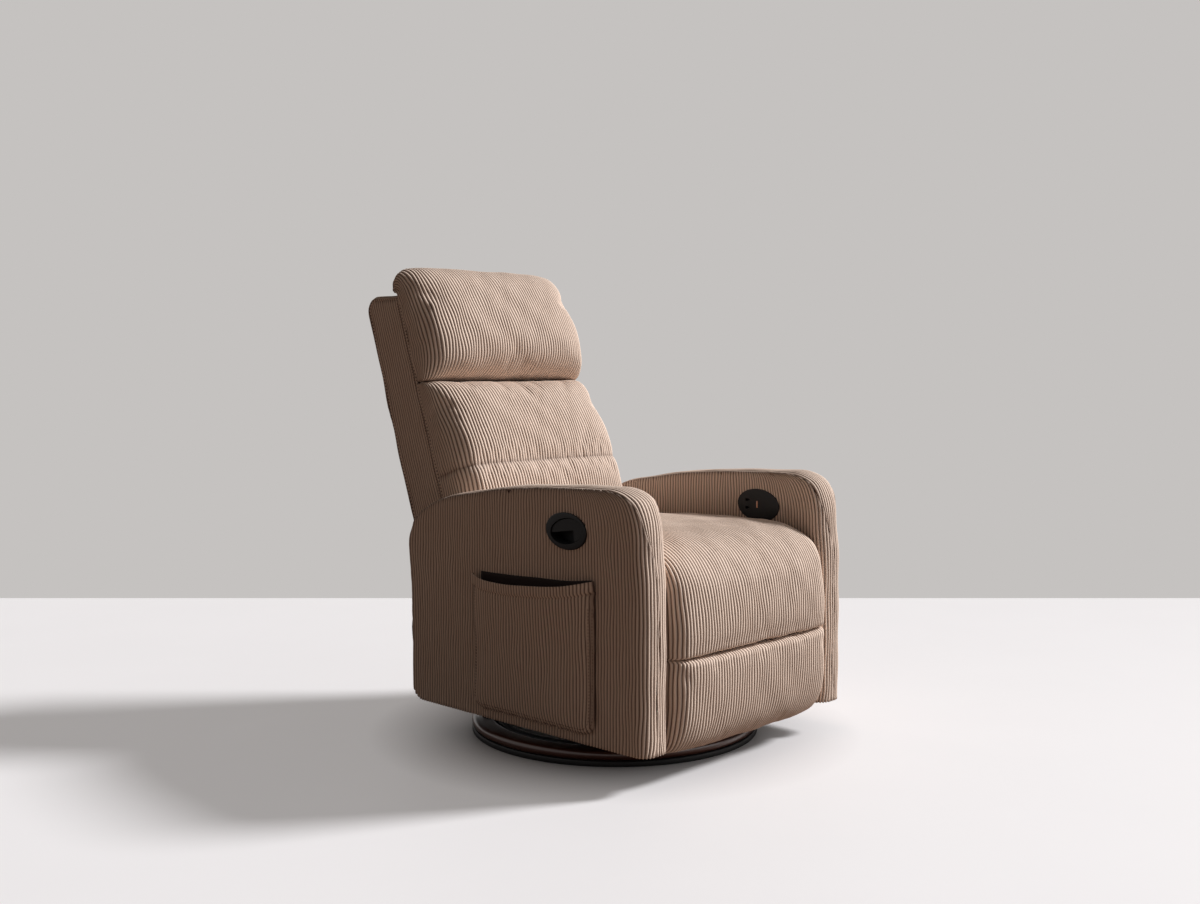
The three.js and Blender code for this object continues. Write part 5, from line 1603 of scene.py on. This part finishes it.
class RECLINER_OT_fittings(bpy.types.Operator):
    """Makes the latch cup, the charging panel and the power inlet"""

    bl_idname = "recliner.fittings"
    bl_label = "Fittings"

    def execute(self, context):
        rows = (("latch_cup", self.cup), ("charging_panel", self.panel), ("power_inlet", self.inlet))
        for node, make in rows:
            fitted(settled(make(*edges(node))), "seat_frame", node, slot="black_plastic")
        return {"FINISHED"}

    def cup(self, low, high):
        piece = oval_disc("latch_cup_oval", low[0], -ARM_OUTER, LATCH_PLACE, 56, 36.5)
        inset_cap(1, 9.6, high[0] + ARM_OUTER, LATCH_PLACE, LATCH_TURN, LATCH_SHIFT)
        inset_cap(-1, 10.6, high[0] - low[0] - 2.2, LATCH_PLACE, LATCH_TURN, LATCH_SHIFT)
        bevel_rim(low[0], LATCH_PLACE, 53, 34, 1.7)
        return piece

    def panel(self, low, high):
        piece = oval_disc("charging_panel_oval", low[0], ARM_INNER, PANEL_PLACE, 58, 36.5)
        inset_cap(1, 11, high[0] - ARM_INNER, shift=PANEL_SHIFT)
        bevel_rim(low[0], PANEL_PLACE, 56, 34.5, 1.3)

        def on_face(spot, normal):
            return normal[0] < -0.9 and spot[0] < low[0] + 0.1

        for y, z, half_y, half_z, _ in WELLS:
            for way, cuts in (((0, 1, 0), (y - half_y, y + half_y)), ((0, 0, 1), (z - half_z, z + half_z))):
                for cut in cuts:
                    pick(on_face)
                    bpy.ops.mesh.bisect(plane_co=to_frame((0, cut, cut)), plane_no=way)
        for y, z, half_y, half_z, deep in WELLS:
            pick(lambda spot, normal: (
                on_face(spot, normal) and abs(spot[1] - y) < half_y and abs(spot[2] - z) < half_z
            ))
            pushed(0, deep)
        return piece

    def inlet(self, low, high):
        middle, radius = (low + high) / 2, (high[0] - low[0]) / 2
        bpy.ops.mesh.primitive_cylinder_add(
            vertices=40, radius=radius * MM, depth=(high[1] - low[1]) * MM,
            location=to_frame(middle), rotation=(math.pi / 2, 0, 0),
        )
        piece = renamed("power_inlet_round")
        edit(piece)
        for rim, deep in ((2.2, -2), (radius - 2.2 - 3.4, -12)):
            pick(lambda spot, normal: normal[1] > 0.9 and math.hypot(*(spot - middle)[[0, 2]]) < 1)
            bpy.ops.mesh.inset(thickness=rim * MM, depth=0)
            pushed(1, deep)
        pick(lambda spot, _: abs(spot[1] - high[1]) < 0.05, "edges")
        bpy.ops.mesh.bevel(offset=0.6 * MM, segments=2)
        return piece


class RECLINER_OT_frame_finishes(bpy.types.Operator):
    """Gives every carried-over frame node its finish"""

    bl_idname = "recliner.frame_finishes"
    bl_label = "Frame finishes"

    def execute(self, context):
        for node in frame["nodes"].values():
            if not node.hide_render:
                slot = node.data.materials[0].name
                node.data.materials.clear()
                node.data.materials.append(finish_for(slot))
        return {"FINISHED"}


class RECLINER_PT_sidebar(bpy.types.Panel):
    """Shows the chair's settings and the buttons that make its pieces"""

    bl_label = "Recliner"
    bl_idname = "RECLINER_PT_sidebar"
    bl_space_type = "VIEW_3D"
    bl_region_type = "UI"
    bl_category = "Recliner"

    def draw(self, context):
        scene = context.scene
        for group in (scene.recliner_cloth, scene.recliner_trim, scene.recliner_stage):
            for name in type(group).__annotations__:
                self.layout.prop(group, name)
        for operator in OPERATORS:
            self.layout.operator(operator.bl_idname)


SETTINGS = (ClothSettings, TrimSettings, StageSettings)
OPERATORS = (
    RECLINER_OT_stage,
    RECLINER_OT_seat,
    RECLINER_OT_back_cushions,
    RECLINER_OT_arms,
    RECLINER_OT_pocket,
    RECLINER_OT_back_shell,
    RECLINER_OT_rear_cover,
    RECLINER_OT_base,
    RECLINER_OT_fittings,
    RECLINER_OT_frame_finishes,
)


def register():
    for cls in (*SETTINGS, *OPERATORS, RECLINER_PT_sidebar):
        bpy.utils.register_class(cls)
    bpy.types.Scene.recliner_cloth = PointerProperty(type=ClothSettings)
    bpy.types.Scene.recliner_trim = PointerProperty(type=TrimSettings)
    bpy.types.Scene.recliner_stage = PointerProperty(type=StageSettings)


def unregister():
    del bpy.types.Scene.recliner_stage
    del bpy.types.Scene.recliner_trim
    del bpy.types.Scene.recliner_cloth
    for cls in reversed((*SETTINGS, *OPERATORS, RECLINER_PT_sidebar)):
        bpy.utils.unregister_class(cls)


def main():
    register()
    bpy.ops.recliner.stage()
    bpy.ops.recliner.seat()
    bpy.ops.recliner.back_cushions()
    bpy.ops.recliner.arms()
    bpy.ops.recliner.pocket()
    bpy.ops.recliner.back_shell()
    bpy.ops.recliner.rear_cover()
    bpy.ops.recliner.base()
    bpy.ops.recliner.fittings()
    bpy.ops.recliner.frame_finishes()


if __name__ == "__main__":
    main()
